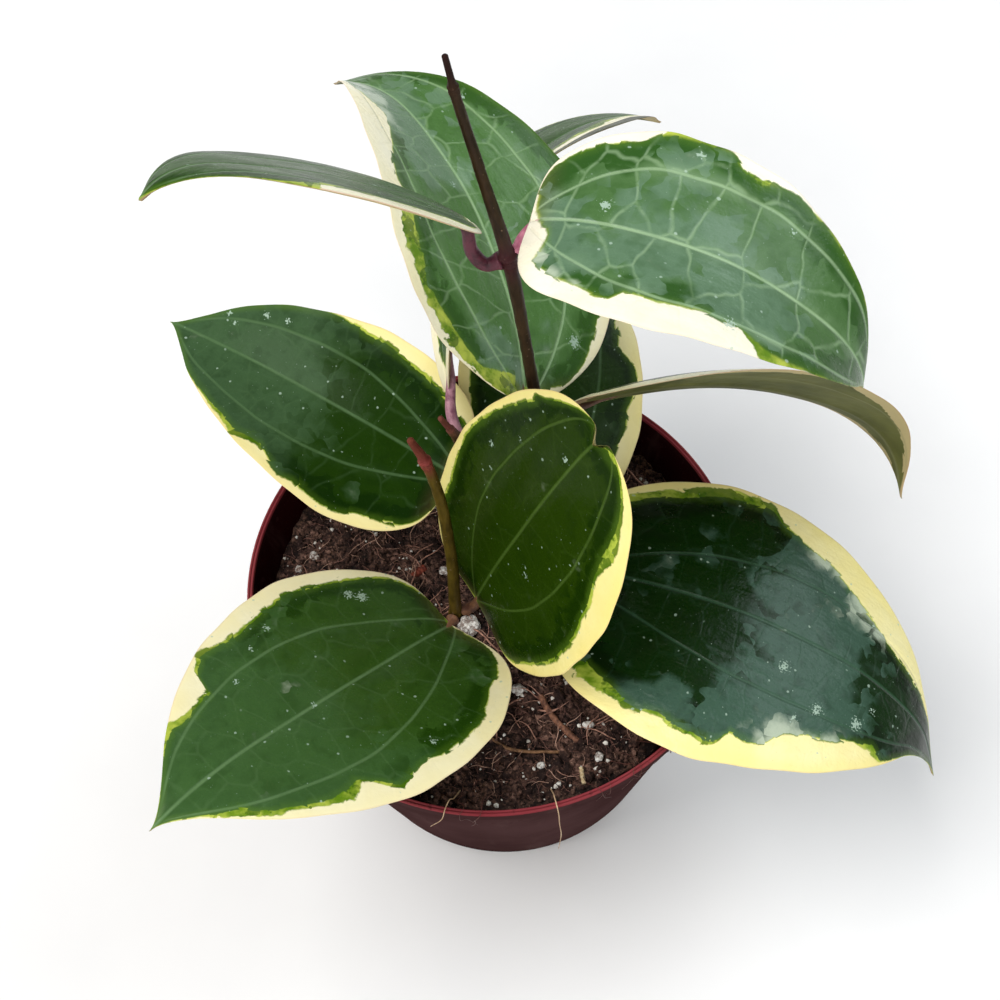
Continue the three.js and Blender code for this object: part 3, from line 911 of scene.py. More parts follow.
VINES = {
    "tall_vine": {
        "points": [(15.2, 11, 58), (15, 10.7, 74), (14.8, 10.5, 81), (13.7, 10.6, 113), (13.2, 9.9, 139.5),
                   (12.1, 8.8, 156), (10.9, 6.5, 174), (8.7, 4, 201), (4.9, 3.2, 225.5), (1.8, 2.5, 245.5),
                   (1.6, 2.4, 247.5), (1, 2.2, 252.5)],
        "radii": [2.1, 1.9, 1.9, 1.4, 1.45, 1.25, 1.2, 1.35, 0.95, 0.85, 0.58, 0.52],
        "rings": {2: 0.4, 4: 0.35, 7: 0.6, 8: 0.05, 9: 0.2},
        "slot": "dark_stem", "dark": (36, 24, 13), "light": (60, 43, 26), "tip": (40, 18, 18),
        "blush": (201, 9, (66, 26, 34)),
    },
    "short_vine": {
        "points": [(-9.8, -5, 60), (-9.9, -4.6, 75), (-9, -4, 102), (-9.5, -3.5, 129.5), (-11.3, -4, 146.5),
                   (-13.5, -5, 157)],
        "radii": [1.8, 1.55, 1.35, 1.25, 1.15, 0.75],
        "rings": {1: 0.3, 4: 0.35},
        "slot": "olive_stem", "dark": (66, 52, 14), "light": (98, 80, 28), "tip": (112, 46, 42),
        "blush": (148, 9, (134, 56, 56)),
    },
    "back_vine": {
        "points": [(1, 15.5, 60), (1, 15.3, 74), (0.6, 14.8, 97), (-1, 15, 109), (-3.6, 15.6, 120),
                   (-6, 14, 129.5), (-7.9, 12.2, 137.5)],
        "radii": [2, 1.9, 1.5, 1.8, 1.9, 0.8, 0.65],
        "rings": {3: 0.4, 4: 0.5, 5: 0.3},
        "slot": "olive_stem", "dark": (70, 52, 34), "light": (112, 86, 58), "tip": (118, 60, 54),
        "blush": (133, 5, (112, 60, 64)),
    },
}


def stem_coordinates(tree):
    """The stem's own map: round it, in turns, and along it, in millimetres."""
    return tree.node("UVMap", {}, uv_map="stem")


def vine_material(name, vine, tip_height):
    """Bark with fine lengthwise furrows, pale lenticels and a dry tip."""
    material, tree = new_finish(name)
    place = object_place(tree)
    height = place.node("SeparateXYZ", {0: place}, output=2)
    furrows = stem_coordinates(tree).stretch(9, 0.22, 1).noise(1.0, 4, 0.6)
    blotch = place.noise(0.12, 3, 0.6)
    lenticels = stem_coordinates(tree).stretch(7, 0.8, 1).noise(1.0, 1).ramp(0.7, 0.76)
    dry = height.ramp(tip_height - 12, tip_height - 2)
    bark = (0.5 * furrows + 0.5 * blotch).ramp(0.36, 0.64)
    colour = bark.mix(paint(*vine["dark"]), paint(*vine["light"]))
    colour = (lenticels * 0.5).mix(colour, paint(170, 138, 112))
    node_height, spread, rosy = vine["blush"]
    blush = abs(height - node_height).ramp(spread, 0) * 0.8 * (0.5 + blotch)
    colour = blush.mix(colour, paint(*rosy))
    colour = (dry * 0.75).mix(colour, paint(*vine["tip"]))
    surface(
        material,
        {"Specular IOR Level": 0.12},
        Base_Color=colour,
        Roughness=0.38 + 0.25 * furrows + 0.2 * dry,
        Normal=relief(0.16 * furrows + 0.12 * lenticels),
    )
    return material


def stop_shares(points):
    """How far along its smooth route each of the given points lies, from 0 to 1."""
    gaps = np.sqrt(np.linalg.norm(np.diff(np.array(points, float), axis=0), axis=1))
    return np.concatenate([[0], np.cumsum(gaps)]) / gaps.sum()


def vine_thickness(vine):
    """Radius along the stem: the listed ones, with a raised double ring at each node."""
    places = stop_shares(vine["points"])
    spans = len(places) - 1
    length = np.linalg.norm(np.diff(np.array(vine["points"], float), axis=0), axis=1).sum()

    def thickness(along, angle):
        radius = float(np.interp(along, places, vine["radii"]))
        for stop, swell in vine["rings"].items():
            away = (along - places[stop]) * length
            radius += swell * math.exp(-((away - 0.9) / 0.7) ** 2)
            radius += 0.6 * swell * math.exp(-((away + 1.2) / 0.9) ** 2)
        wobble = noise.noise(Vector((2 * math.cos(angle), 2 * math.sin(angle), along * spans * 5)))
        return radius * (1 + 0.07 * wobble)

    return thickness


for name, vine in VINES.items():
    finish = vine_material(name + "_bark", vine, vine["points"][-1][2])
    thickness = vine_thickness(vine)
    piece = rod(name + "_stem", vine["points"], thickness, VINE_RINGS, VINE_SIDES, finish, (0.3, 0.5))
    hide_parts(name)
    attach(piece, "root")


# Leaves: thick waxy blades, green with a ragged cream margin where the tissue has no green.
# Three main veins run from the stalk to the point, and a net of cross veins joins them. The
# stalk is round, pink to purple, and grown into the underside of the blade.

# A blade's shape. In degrees: heading, pitch and roll of its base, bend, curve and twist of its
# midrib, tip_hook, a further bend near the point, and fold and cup of its halves, the cup at
# the base and at the point. In millimetres: length, half widths left and right, lobe behind
# the stalk, beak of the point, cleft in it, waves of the margin, and the stalk's stops. Ends
# with a small base_round or tip_point are blunt, claw draws the point in, and scallop is how
# deep the small bays in the margin are. side_vein lists where the outer main veins run.
#
# Its skin. cream is how wide the cream margin is, lime how far yellow-green runs into it, and
# underside_shade how wide a strip of the margin is painted the dark olive of a shaded underside
# rolled under, though the blade is not rolled, in millimetres for the left and for the right, at
# places from 0 at the stalk to 1 at the point. pale, sky_reflection and scars are spots: a place
# along, a place across (1 at the left margin) and a radius; at sky_reflection spots a grey-blue
# reflection of the sky is painted. yolk is how yellow the cream is, pink how red its edge, shine
# the gloss, soft and ragged the border of the green, wrinkle the relief, and from reflection_from
# to the point the green has a painted greyish reflection of the sky.

LEAF_FORM = {
    "tip_hook": 0, "curve": 0, "twist": 0, "fold": 5, "cup": (0, 0), "lobe": 4, "beak": 4,
    "base_round": 0.5, "tip_point": 0.75, "claw": 0.025, "cleft": 0, "waves": 0.3, "scallop": 0.007,
    "side_vein": [(0, 0.2), (0.1, 0.28), (0.2, 0.37), (0.3, 0.45), (0.5, 0.56), (0.7, 0.63), (1, 0.88)],
    "lime": ([(0, 0)], [(0, 0)]),
    "underside_shade": ([(0, 0)], [(0, 0)]),
    "pale": [],
    "sky_reflection": [],
    "scars": [],
    "green": "deep", "yolk": 0.5, "pink": 0.0, "shine": 0.3, "soft": 0.12, "ragged": 0.75,
    "vein_width": 0.58, "wrinkle": 1.0, "reflection_from": 2.0,
}

LEAVES = {
    "leaf_upper_left": {
        "base": (2.8, 6, 209), "heading": 181, "pitch": 40, "roll": 36, "bend": 21, "tip_hook": 43,
        "curve": 5, "twist": 10, "fold": 0, "length": 61, "left": 19, "right": 20, "lobe": 0, "beak": 2,
        "stalk": [(7.2, 4, 200.4), (4.6, 3.9, 199.8), (2.4, 4.6, 202.6)],
        "cream": (
            [(0, 2), (0.1, 3), (0.2, 5), (0.3, 6), (0.5, 6), (0.6, 5), (0.66, 2), (0.72, 0.3), (1, 0)],
            [(0, 1), (0.1, 1), (0.18, 2.2), (0.26, 2), (0.34, 0.6), (0.5, 0), (1, 0)],
        ),
        "lime": (
            [(0.3, 0.4), (0.56, 1), (0.64, 3.4), (0.72, 2), (0.85, 1.4), (1, 0)],
            [(0, 0)],
        ),
        "green": "mid", "yolk": 0.1, "pink": 0.8, "shine": 0.03,
    },
    "leaf_upper_right": {
        "base": (13, 7.5, 206.5), "heading": -18, "pitch": 14, "roll": -2, "bend": 62, "tip_hook": 25,
        "curve": -10, "cup": (0, 25), "length": 72, "left": 22, "right": 22, "lobe": 1, "beak": 2,
        "base_round": 0.35, "tip_point": 0.7, "scallop": 0.013,
        "stalk": [(10.6, 4.6, 201.8), (11.7, 5.8, 203.6)],
        "side_vein": [(0, 0.2), (0.1, 0.43), (0.2, 0.57), (0.3, 0.63), (0.5, 0.66), (0.7, 0.72),
                      (1, 0.9)],
        "cream": (
            [(0, 1.2), (0.1, 1.4), (0.17, 2.4), (0.22, 2.8), (0.27, 1), (0.36, 0.2), (0.43, 0.8),
             (0.46, 2.4), (0.51, 3.6), (0.55, 2.4), (0.6, 0.9), (0.7, 0.3), (1, 0)],
            [(0, 2.5), (0.06, 4.5), (0.14, 4.5), (0.22, 4), (0.26, 4.2), (0.29, 7), (0.4, 7),
             (0.5, 6.5), (0.56, 5.8), (0.61, 4), (0.65, 2), (0.72, 0.7), (0.8, 0), (1, 0)],
        ),
        "lime": (
            [(0.26, 0), (0.31, 1.6), (0.36, 0.5), (0.46, 0), (0.52, 1.2), (0.57, 0)],
            [(0.58, 0), (0.64, 3), (0.7, 1.5), (0.76, 0)],
        ),
        "pale": [(0.05, -0.6, 3), (0.1, -0.8, 3), (0.17, -0.84, 3)],
        "sky_reflection": [(0.1, -0.3, 10), (0.35, 0.0, 12), (0.55, -0.3, 12)],
        "scars": [(0.18, 0.2, 1.2), (0.55, -0.7, 1.3), (0.36, 0.86, 0.8), (0.62, 0.62, 0.6)],
        "green": "hazy", "yolk": 0, "soft": 0.5, "ragged": 0.6, "wrinkle": 1.6,
    },
    "leaf_middle_back": {
        "base": (10.5, 10.5, 144), "heading": 89, "pitch": 24, "roll": 41, "bend": 39, "tip_hook": 36,
        "curve": 25, "fold": 10, "cup": (-15, 25), "length": 92, "left": 30, "right": 30, "lobe": -2,
        "beak": 3, "base_round": 0.45, "scallop": 0.012,
        "stalk": [(12.2, 10.8, 139.6), (11, 11, 141.6)],
        "side_vein": [(0, 0.2), (0.1, 0.35), (0.2, 0.5), (0.3, 0.58), (0.5, 0.63), (0.7, 0.68),
                      (1, 0.88)],
        "cream": (
            [(0, 2), (0.05, 5.5), (0.12, 6), (0.2, 5), (0.26, 4.5), (0.32, 5.5), (0.4, 7), (0.46, 7),
             (0.55, 5.5), (0.61, 5.5), (0.66, 8), (0.72, 10), (0.78, 9), (0.82, 6.5), (0.86, 4),
             (0.92, 1.4), (1, 0)],
            [(0, 2), (0.06, 2.6), (0.15, 3.8), (0.25, 3.4), (0.38, 2.2), (0.5, 0.6), (0.56, 0), (1, 0)],
        ),
        "lime": (
            [(0, 2), (0.05, 4), (0.12, 4), (0.2, 2.6), (0.26, 2), (0.32, 3), (0.4, 5), (0.46, 3),
             (0.52, 0)],
            [(0.35, 0), (0.46, 1.5), (0.56, 0)],
        ),
        "pale": [(0.77, 0.55, 4), (0.84, 0.5, 5), (0.9, 0.4, 3.5)],
        "sky_reflection": [(0.82, 0.3, 14), (0.62, 0.2, 7), (0.1, 0.35, 7)],
        "scars": [(0.13, -0.62, 1.6), (0.55, 0.12, 0.9), (0.77, -0.75, 1.0)],
        "green": "fresh", "yolk": 0.15, "soft": 0.22, "wrinkle": 1.4,
    },
    "leaf_middle_right": {
        "base": (18.6, 4.2, 150), "heading": 25, "pitch": -12, "roll": -59, "bend": 48, "tip_hook": 50,
        "twist": 15, "cup": (-20, 5), "length": 94, "left": 28, "right": 27, "lobe": 3, "beak": 6,
        "base_round": 0.4, "tip_point": 0.8,
        "stalk": [(14.2, 9, 140), (16.2, 6.8, 144.6), (17.6, 5, 148.2)],
        "cream": (
            [(0, 2), (0.2, 1), (0.5, 0.5), (0.58, 1), (0.64, 5), (0.72, 7.5), (0.84, 6.5), (0.92, 3),
             (1, 0)],
            [(0, 3), (0.1, 5), (0.3, 5), (0.42, 2.5), (0.55, 1.5), (0.66, 3), (0.8, 4), (0.92, 2.5),
             (1, 0)],
        ),
        "yolk": 0.2, "pink": 0.7, "shine": 0.06,
    },
    "leaf_lower_right": {
        "base": (22.5, -5.5, 93), "heading": -22, "pitch": 13, "roll": 3, "bend": 57, "tip_hook": 25,
        "curve": -9, "twist": -10, "fold": 0, "cup": (-5, -5), "length": 97, "left": 32, "right": 37,
        "lobe": 7, "beak": 15, "base_round": 0.42, "tip_point": 0.78, "claw": 0.04,
        "stalk": [(17, 8.6, 81.5), (19, 3, 88)],
        "side_vein": [(0, 0.2), (0.2, 0.31), (0.4, 0.42), (0.6, 0.5), (0.8, 0.6), (1, 0.85)],
        "cream": (
            [(0, 2), (0.1, 3.4), (0.2, 4.8), (0.3, 4), (0.36, 2.8), (0.39, 3), (0.42, 5.6), (0.5, 7),
             (0.58, 7.6), (0.66, 9), (0.74, 9.5), (0.82, 8), (0.87, 5.5), (0.91, 2.6), (0.95, 1),
             (1, 0)],
            [(0, 3), (0.1, 6), (0.17, 6), (0.2, 5), (0.28, 6), (0.36, 5.6), (0.42, 5), (0.45, 7.4),
             (0.5, 6), (0.54, 6.4), (0.57, 9.5), (0.66, 9), (0.72, 8), (0.8, 5.6), (0.84, 1.4),
             (0.9, 0.2), (1, 0)],
        ),
        "lime": (
            [(0.08, 1.5), (0.2, 2), (0.34, 2.5), (0.4, 1), (0.45, 0)],
            [(0.05, 2), (0.12, 3.5), (0.18, 2), (0.22, 0.5), (0.4, 0.8), (0.46, 0), (0.76, 0),
             (0.81, 1.5), (0.84, 0)],
        ),
        "pale": [(0.53, 0.78, 4), (0.6, 0.78, 4), (0.68, 0.72, 6), (0.74, 0.68, 5), (0.57, -0.8, 6),
                 (0.64, -0.82, 5), (0.7, -0.8, 4)],
        "sky_reflection": [(0.58, -0.2, 16), (0.66, -0.5, 12), (0.45, -0.65, 11), (0.55, 0.55, 13),
                  (0.45, 0.3, 7), (0.62, 0.2, 9), (0.3, -0.72, 7), (0.24, -0.8, 6)],
        "scars": [(0.52, -0.25, 1.4), (0.63, -0.48, 1.5), (0.74, -0.5, 1.6), (0.77, -0.32, 0.8),
                  (0.585, -0.6, 0.9)],
        "green": "black", "yolk": 0.6, "shine": 0.22, "wrinkle": 2.4,
    },
    "leaf_lower_back": {
        "base": (16, 16.5, 85), "heading": 81, "pitch": 54, "roll": 17, "bend": 61, "curve": -5,
        "cup": (-5, 0), "length": 77, "left": 23, "right": 23, "beak": 3,
        "stalk": [(15.1, 12.9, 81), (15.4, 15, 82)],
        "cream": (
            [(0, 2), (0.15, 3), (0.3, 2.6), (0.5, 3), (0.7, 2), (0.9, 1), (1, 0)],
            [(0, 2), (0.1, 4), (0.2, 4.4), (0.32, 4), (0.4, 1.4), (0.46, 2), (0.52, 5), (0.6, 4),
             (0.65, 1.5), (0.7, 5), (0.8, 3.4), (0.9, 1.4), (1, 0.4)],
        ),
    },
    "leaf_front_left": {
        "base": (-11, -9, 78), "heading": 224, "pitch": 34, "roll": 0, "bend": 9, "tip_hook": 25,
        "cup": (10, -20), "length": 93, "left": 33, "right": 32, "tip_point": 0.8, "claw": 0.04,
        "stalk": [(-10.8, -7, 76.3)],
        "cream": (
            [(0, 1), (0.05, 2.4), (0.1, 4), (0.16, 5), (0.24, 4.8), (0.32, 4.4), (0.4, 4.8), (0.47, 6),
             (0.51, 4.6), (0.55, 3.6), (0.58, 6), (0.62, 8), (0.65, 6), (0.7, 3.6), (0.76, 3),
             (0.82, 2.4), (0.87, 3), (0.91, 1.4), (0.95, 0.4), (1, 0)],
            [(0, 0.6), (0.07, 1.6), (0.14, 3), (0.2, 4.2), (0.3, 4.8), (0.4, 4.6), (0.5, 4.8),
             (0.56, 4.4), (0.61, 3.6), (0.65, 2), (0.69, 2.6), (0.71, 7.5), (0.78, 6), (0.82, 3.8),
             (0.85, 1.2), (0.9, 0.3), (1, 0)],
        ),
        "lime": (
            [(0.5, 0), (0.56, 1.4), (0.6, 0), (0.66, 2.4), (0.72, 1), (0.78, 0.5), (0.88, 2),
             (0.94, 0)],
            [(0.3, 0.4), (0.6, 0.5), (0.66, 1.2), (0.7, 0.6), (0.8, 1), (0.85, 2), (0.9, 0.5)],
        ),
        "scars": [(0.175, -0.65, 1.5), (0.2, -0.7, 1.3), (0.535, 0, 0.8), (0.395, 0.73, 1.0),
                  (0.46, -0.72, 0.9), (0.64, -0.55, 0.8), (0.54, -0.67, 0.6)],
        "green": "mid", "yolk": 0.25, "shine": 0.16, "reflection_from": 0.45,
    },
    "leaf_front_upright": {
        "base": (-4.5, -6.5, 85.5), "heading": -26, "pitch": 74, "roll": 52, "bend": 11, "tip_hook": 10,
        "fold": 0, "cup": (10, 0), "length": 87, "left": 26, "right": 30.5, "beak": -2,
        "base_round": 0.4, "tip_point": 0.48, "claw": 0, "cleft": 4,
        "stalk": [(-7.4, -4.4, 76.2), (-5, -5, 79.5)],
        "side_vein": [(0, 0.05), (0.1, 0.22), (0.2, 0.38), (0.3, 0.44), (0.5, 0.5), (0.7, 0.52),
                      (1, 0.5)],
        "cream": (
            [(0, 1), (0.1, 1.6), (0.2, 3), (0.3, 3.2), (0.4, 2.8), (0.5, 1.6), (0.6, 1.6), (0.7, 2.2),
             (0.8, 3), (0.84, 2.8), (0.86, 1.4), (0.88, 2.6), (0.92, 2.6), (0.95, 2.2), (0.98, 1.2),
             (1, 0.3)],
            [(0, 0.3), (0.08, 1.5), (0.14, 3), (0.2, 3.6), (0.3, 3.8), (0.4, 4.2), (0.5, 5.2),
             (0.6, 6.8), (0.68, 8), (0.74, 7.6), (0.8, 6), (0.84, 5.2), (0.9, 4.4), (0.95, 3.4),
             (0.98, 2), (1, 0.3)],
        ),
        "lime": (
            [(0, 0.3), (1, 0.3)],
            [(0, 0.3), (0.7, 0.6), (0.78, 2.4), (0.86, 1), (1, 0.4)],
        ),
        "scars": [(0.385, -0.24, 0.9), (0.59, 0.72, 0.9), (0.83, 0.1, 0.8), (0.71, 0.56, 0.6)],
        "green": "olive", "yolk": 0.7, "shine": 0.04, "ragged": 0.45, "vein_width": 0.5,
    },
    "leaf_left": {
        "base": (-6.8, 16.5, 105.8), "heading": 151, "pitch": 24, "roll": -20, "bend": 33, "twist": 10,
        "cup": (0, 55), "length": 78, "left": 25, "right": 21.5, "lobe": 1.5, "base_round": 0.4,
        "tip_point": 0.78,
        "stalk": [(-2.6, 15.2, 107)],
        "cream": (
            [(0, 0.6), (0.08, 1), (0.15, 3.2), (0.2, 2.8), (0.26, 2), (0.36, 2), (0.4, 3), (0.44, 1.6),
             (0.48, 2.6), (0.53, 4.6), (0.58, 4), (0.62, 2), (0.67, 2), (0.73, 1.2), (0.8, 0.5),
             (0.88, 0), (1, 0)],
            [(0, 1), (0.08, 4), (0.16, 4.4), (0.3, 4), (0.4, 3.2), (0.46, 1.8), (0.52, 0.5), (0.58, 0),
             (1, 0)],
        ),
        "lime": (
            [(0.5, 0), (0.58, 1.6), (0.63, 1), (0.7, 0.6), (0.8, 0)],
            [(0.1, 0.4), (0.4, 0.6), (0.5, 0)],
        ),
        "scars": [(0.67, -0.75, 0.8), (0.74, -0.8, 0.9), (0.83, -0.6, 0.7), (0.86, -0.85, 0.7)],
        "shine": 0.04, "reflection_from": 0.45,
    },
    "leaf_back_arched": {
        "base": (-6.2, 26.6, 127.7), "heading": 91, "pitch": 11, "roll": -77, "bend": 75,
        "tip_hook": 14, "curve": -15, "twist": 45, "cup": (20, -15), "length": 107, "left": 20,
        "right": 23, "base_round": 1, "tip_point": 0.7,
        "stalk": [(-4.4, 17, 120.6), (-5.9, 21.6, 125)],
        "cream": (
            [(0, 3), (0.12, 3), (0.22, 4), (0.32, 2.4), (0.45, 1.4), (0.6, 1), (0.8, 1.4), (0.92, 2),
             (1, 0.5)],
            [(0, 3), (0.3, 5), (0.4, 9), (0.5, 11), (0.62, 12), (0.72, 12), (0.86, 11), (0.93, 8),
             (1, 2)],
        ),
        "lime": (
            [(0.7, 0), (0.85, 2), (1, 1)],
            [(0.35, 0), (0.5, 3), (0.75, 4), (0.9, 2), (1, 0)],
        ),
        "underside_shade": (
            [(0, 0)],
            [(0.3, 0), (0.4, 4.5), (0.84, 4.5), (0.94, 1), (1, 0)],
        ),
        "green": "mid", "yolk": 0.1, "shine": 0.03,
    },
}

LEAF_THICKNESS = 1.3
STALK_RADIUS = 1.6
BLADE_ROWS = 130
BLADE_COLUMNS = 30
MIDRIB_STEPS = 40
HOOK_FROM = 0.7
STALK_RINGS = 90
STALK_SIDES = 18

# Greens for each kind of leaf. The greyish blue colour of each set is a painted reflection of the sky; the
# hazy set is partly painted sky reflection, and the black set partly painted shade, darker than the leaf's
# own green.
LEAF_GREENS = {
    "hazy": {"core": (72, 108, 58), "edge": (42, 82, 24), "sky_reflection": (98, 128, 102), "vein": (164, 194, 150)},
    "fresh": {"core": (72, 112, 52), "edge": (44, 84, 18), "sky_reflection": (104, 134, 104), "vein": (158, 190, 140)},
    "mid": {"core": (50, 82, 26), "edge": (32, 62, 10), "sky_reflection": (62, 96, 50), "vein": (104, 136, 90)},
    "deep": {"core": (28, 54, 8), "edge": (18, 42, 6), "sky_reflection": (66, 94, 62), "vein": (86, 116, 76)},
    "olive": {"core": (34, 56, 3), "edge": (22, 44, 2), "sky_reflection": (40, 62, 12), "vein": (80, 106, 44)},
    "black": {"core": (10, 40, 4), "edge": (6, 28, 2), "sky_reflection": (68, 98, 82), "vein": (58, 90, 66)},
}
NET_SHOWS = {"hazy": 0.6, "fresh": 0.5, "mid": 0.22, "deep": 0.2, "olive": 0.15, "black": 0.22}


def turned_about(vector, axis, angle):
    cosine, sine = math.cos(angle), math.sin(angle)
    return vector * cosine + np.cross(axis, vector) * sine + axis * axis.dot(vector) * (1 - cosine)


def midrib_frames(leaf):
    """Points along the midrib, each with the directions along, across and up from it."""
    heading, pitch, roll = (math.radians(leaf[key]) for key in ("heading", "pitch", "roll"))
    level = math.cos(pitch)
    along = np.array([level * math.cos(heading), level * math.sin(heading), math.sin(pitch)])
    across = turned_about(np.array([-math.sin(heading), math.cos(heading), 0.0]), along, roll)
    up = np.cross(along, across)
    places = np.linspace(0, 1, MIDRIB_STEPS + 1)
    hook = np.clip((places - HOOK_FROM) / 0.3, 0, None) ** 2
    droop = np.radians(leaf["bend"] * places + leaf["tip_hook"] * hook)
    point = np.array(leaf["base"], float)
    frames = [np.stack([point, along, across, up])]
    for i in range(MIDRIB_STEPS):
        turn = across * (droop[i + 1] - droop[i]) + up * math.radians(leaf["curve"]) / MIDRIB_STEPS
        turn = turn + along * math.radians(leaf["twist"]) / MIDRIB_STEPS
        angle = np.linalg.norm(turn)
        before = along
        if angle > 0:
            along, across, up = (turned_about(axis, turn / angle, angle) for axis in (along, across, up))
        point = point + (before + along) / 2 * leaf["length"] / MIDRIB_STEPS
        frames.append(np.stack([point, along, across, up]))
    return np.array(frames)


def outline(leaf, s):
    """Half width of the blade at s, as a share of the widest."""
    widest = leaf["base_round"] / (leaf["base_round"] + leaf["tip_point"])
    peak = widest ** leaf["base_round"] * (1 - widest) ** leaf["tip_point"]
    return np.clip(s, 0, 1) ** leaf["base_round"] * np.clip(1 - s, 0, 1) ** leaf["tip_point"] / peak


def half_width(leaf, s, t):
    """Half width in millimetres, with small irregular bays in the margin."""
    side, length = np.sign(t), leaf["length"]
    bays = np.sin(19 * s + 3 * length + side) + 0.6 * np.sin(43 * s + length - side)
    claw = 1 - np.exp(-(1 - s) / leaf["claw"]) if leaf["claw"] else 1
    widest = np.where(t > 0, leaf["left"], leaf["right"])
    return widest * outline(leaf, s) * (1 + leaf["scallop"] * bays) * claw


def blade_points(leaf, frames, s, t, lift):
    """Points of the blade: s from the stalk (0) to the point (1), t from the right margin (-1)
    to the left one (1), and lift in millimetres above the middle of its thickness."""
    length = leaf["length"]
    widest = np.where(t > 0, leaf["left"], leaf["right"])
    y = np.abs(t) * half_width(leaf, s, t)

    # Along the midrib: the lobes reach back, the beak forward, and the cleft cuts in
    near_base = s / 0.06
    reach_back = leaf["lobe"] / length * near_base * np.exp(1 - near_base)
    x = s - t * t * reach_back + leaf["beak"] / length * np.clip((s - 0.9) / 0.1, 0, None) ** 2
    notch = np.exp(-((y / 1.6) ** 2)) * np.clip((s - 0.88) / 0.11, 0, 1) ** 2
    x = x - leaf["cleft"] / length * notch
    inside = np.clip(x, 0, 1)

    # The midrib's frame there, between the two nearest ones
    place = inside * (len(frames) - 1)
    first = np.minimum(place.astype(int), len(frames) - 2)
    share = (place - first)[..., None, None]
    frame_there = frames[first] * (1 - share) + frames[first + 1] * share
    point, along, across, up = (frame_there[..., k, :] for k in range(4))

    # Each half is folded up at the midrib and curled into an arc
    curl = np.radians(leaf["cup"][0] + (leaf["cup"][1] - leaf["cup"][0]) * inside) * y / widest
    chord = y * np.sinc(curl / 2 / math.pi)
    slope = math.radians(leaf["fold"]) + curl / 2
    sideways = np.sign(t) * (chord * np.cos(slope) - lift * np.sin(slope))
    upwards = chord * np.sin(slope) + lift * np.cos(slope)
    ahead = ((x - inside) * length)[..., None]
    return point + along * ahead + across * sideways[..., None] + up * upwards[..., None]


def side_vein_place(leaf, s):
    """Where the vein on each half runs, as a share of the half width: a smooth curve near the
    listed places."""
    along, across = np.array(leaf["side_vein"]).T
    return np.polyval(np.polyfit(along, across, 4), s)


def surface_relief(leaf, s, t, top):
    """How far the skin stands out in millimetres: gentle swellings between the veins, veins
    sunk into the upper side and raised on the lower one, and a margin that waves a little."""
    width = half_width(leaf, s, t)
    x, y = s * leaf["length"], t * width
    seed = leaf["length"]
    midrib = np.exp(-((y / 0.9) ** 2)) * (1 - 0.6 * s)
    from_vein = (np.abs(t) - side_vein_place(leaf, s)) * width
    side_vein = np.exp(-((from_vein / 0.8) ** 2)) * np.clip(1.2 - s, 0, 1) * (s > 0.01)
    ripples = np.sin(x / 4.6 + 0.12 * y + seed) * np.sin(np.abs(y) / 4.1 + 0.5 * seed)
    swell = ripples + 0.6 * np.sin(x / 8.3 - y / 7.9)
    body = np.clip(1 - t * t, 0, 1) ** 0.5
    pucker = 0.2 * leaf["cleft"] * np.exp(-((y / 1.8) ** 2)) * np.clip((s - 0.88) / 0.12, 0, 1)
    waving = leaf["waves"] * np.abs(t) ** 4
    wave = waving * np.sin(x / 12 + np.sign(t) * 1.3 + seed) * outline(leaf, s) - pucker
    if top:
        return body * (0.16 * swell - 0.16 * midrib - 0.1 * side_vein) + wave
    return -body * (0.1 * swell + 0.1) * 0.5 - body * (0.55 * midrib + 0.22 * side_vein) + wave


def along_margin(leaf, key, s, t):
    """A quantity listed for both margins, blended from one to the other across the midrib."""
    left, right = (np.interp(s, *np.array(rows, float).T) for rows in leaf[key])
    share = np.clip(t * 2 + 0.5, 0, 1)
    return left * share + right * (1 - share)


def spots(leaf, key, s, t):
    """1 at the middle of each listed spot, falling to 0 round it."""
    total = np.zeros_like(s)
    for at, across, radius in leaf[key]:
        width_there = half_width(leaf, np.full_like(s, at), np.full_like(s, across or 1e-6))
        dx = (s - at) * leaf["length"]
        dy = t * half_width(leaf, s, t) - across * width_there
        total = np.maximum(total, np.exp(-(dx * dx + dy * dy) / radius ** 2))
    return total


def blade_faces(rows, wide):
    """Faces of the upper and the lower side. They share their margins and both ends."""
    upper = np.arange(rows * wide).reshape(rows, wide)
    lower = upper.copy()
    lower[:, 1:-1] = rows * wide + np.arange(rows * (wide - 2)).reshape(rows, wide - 2)
    foot = rows * (2 * wide - 2)
    point = foot + 1
    faces = []
    for i in range(rows - 1):
        for j in range(wide - 1):
            faces.append((upper[i, j], upper[i + 1, j], upper[i + 1, j + 1], upper[i, j + 1]))
            faces.append((lower[i, j], lower[i, j + 1], lower[i + 1, j + 1], lower[i + 1, j]))
    for j in range(wide - 1):
        faces.append((foot, upper[0, j], upper[0, j + 1]))
        faces.append((foot, lower[0, j + 1], lower[0, j]))
        faces.append((point, upper[-1, j + 1], upper[-1, j]))
        faces.append((point, lower[-1, j], lower[-1, j + 1]))
    return [tuple(int(v) for v in face) for face in faces]


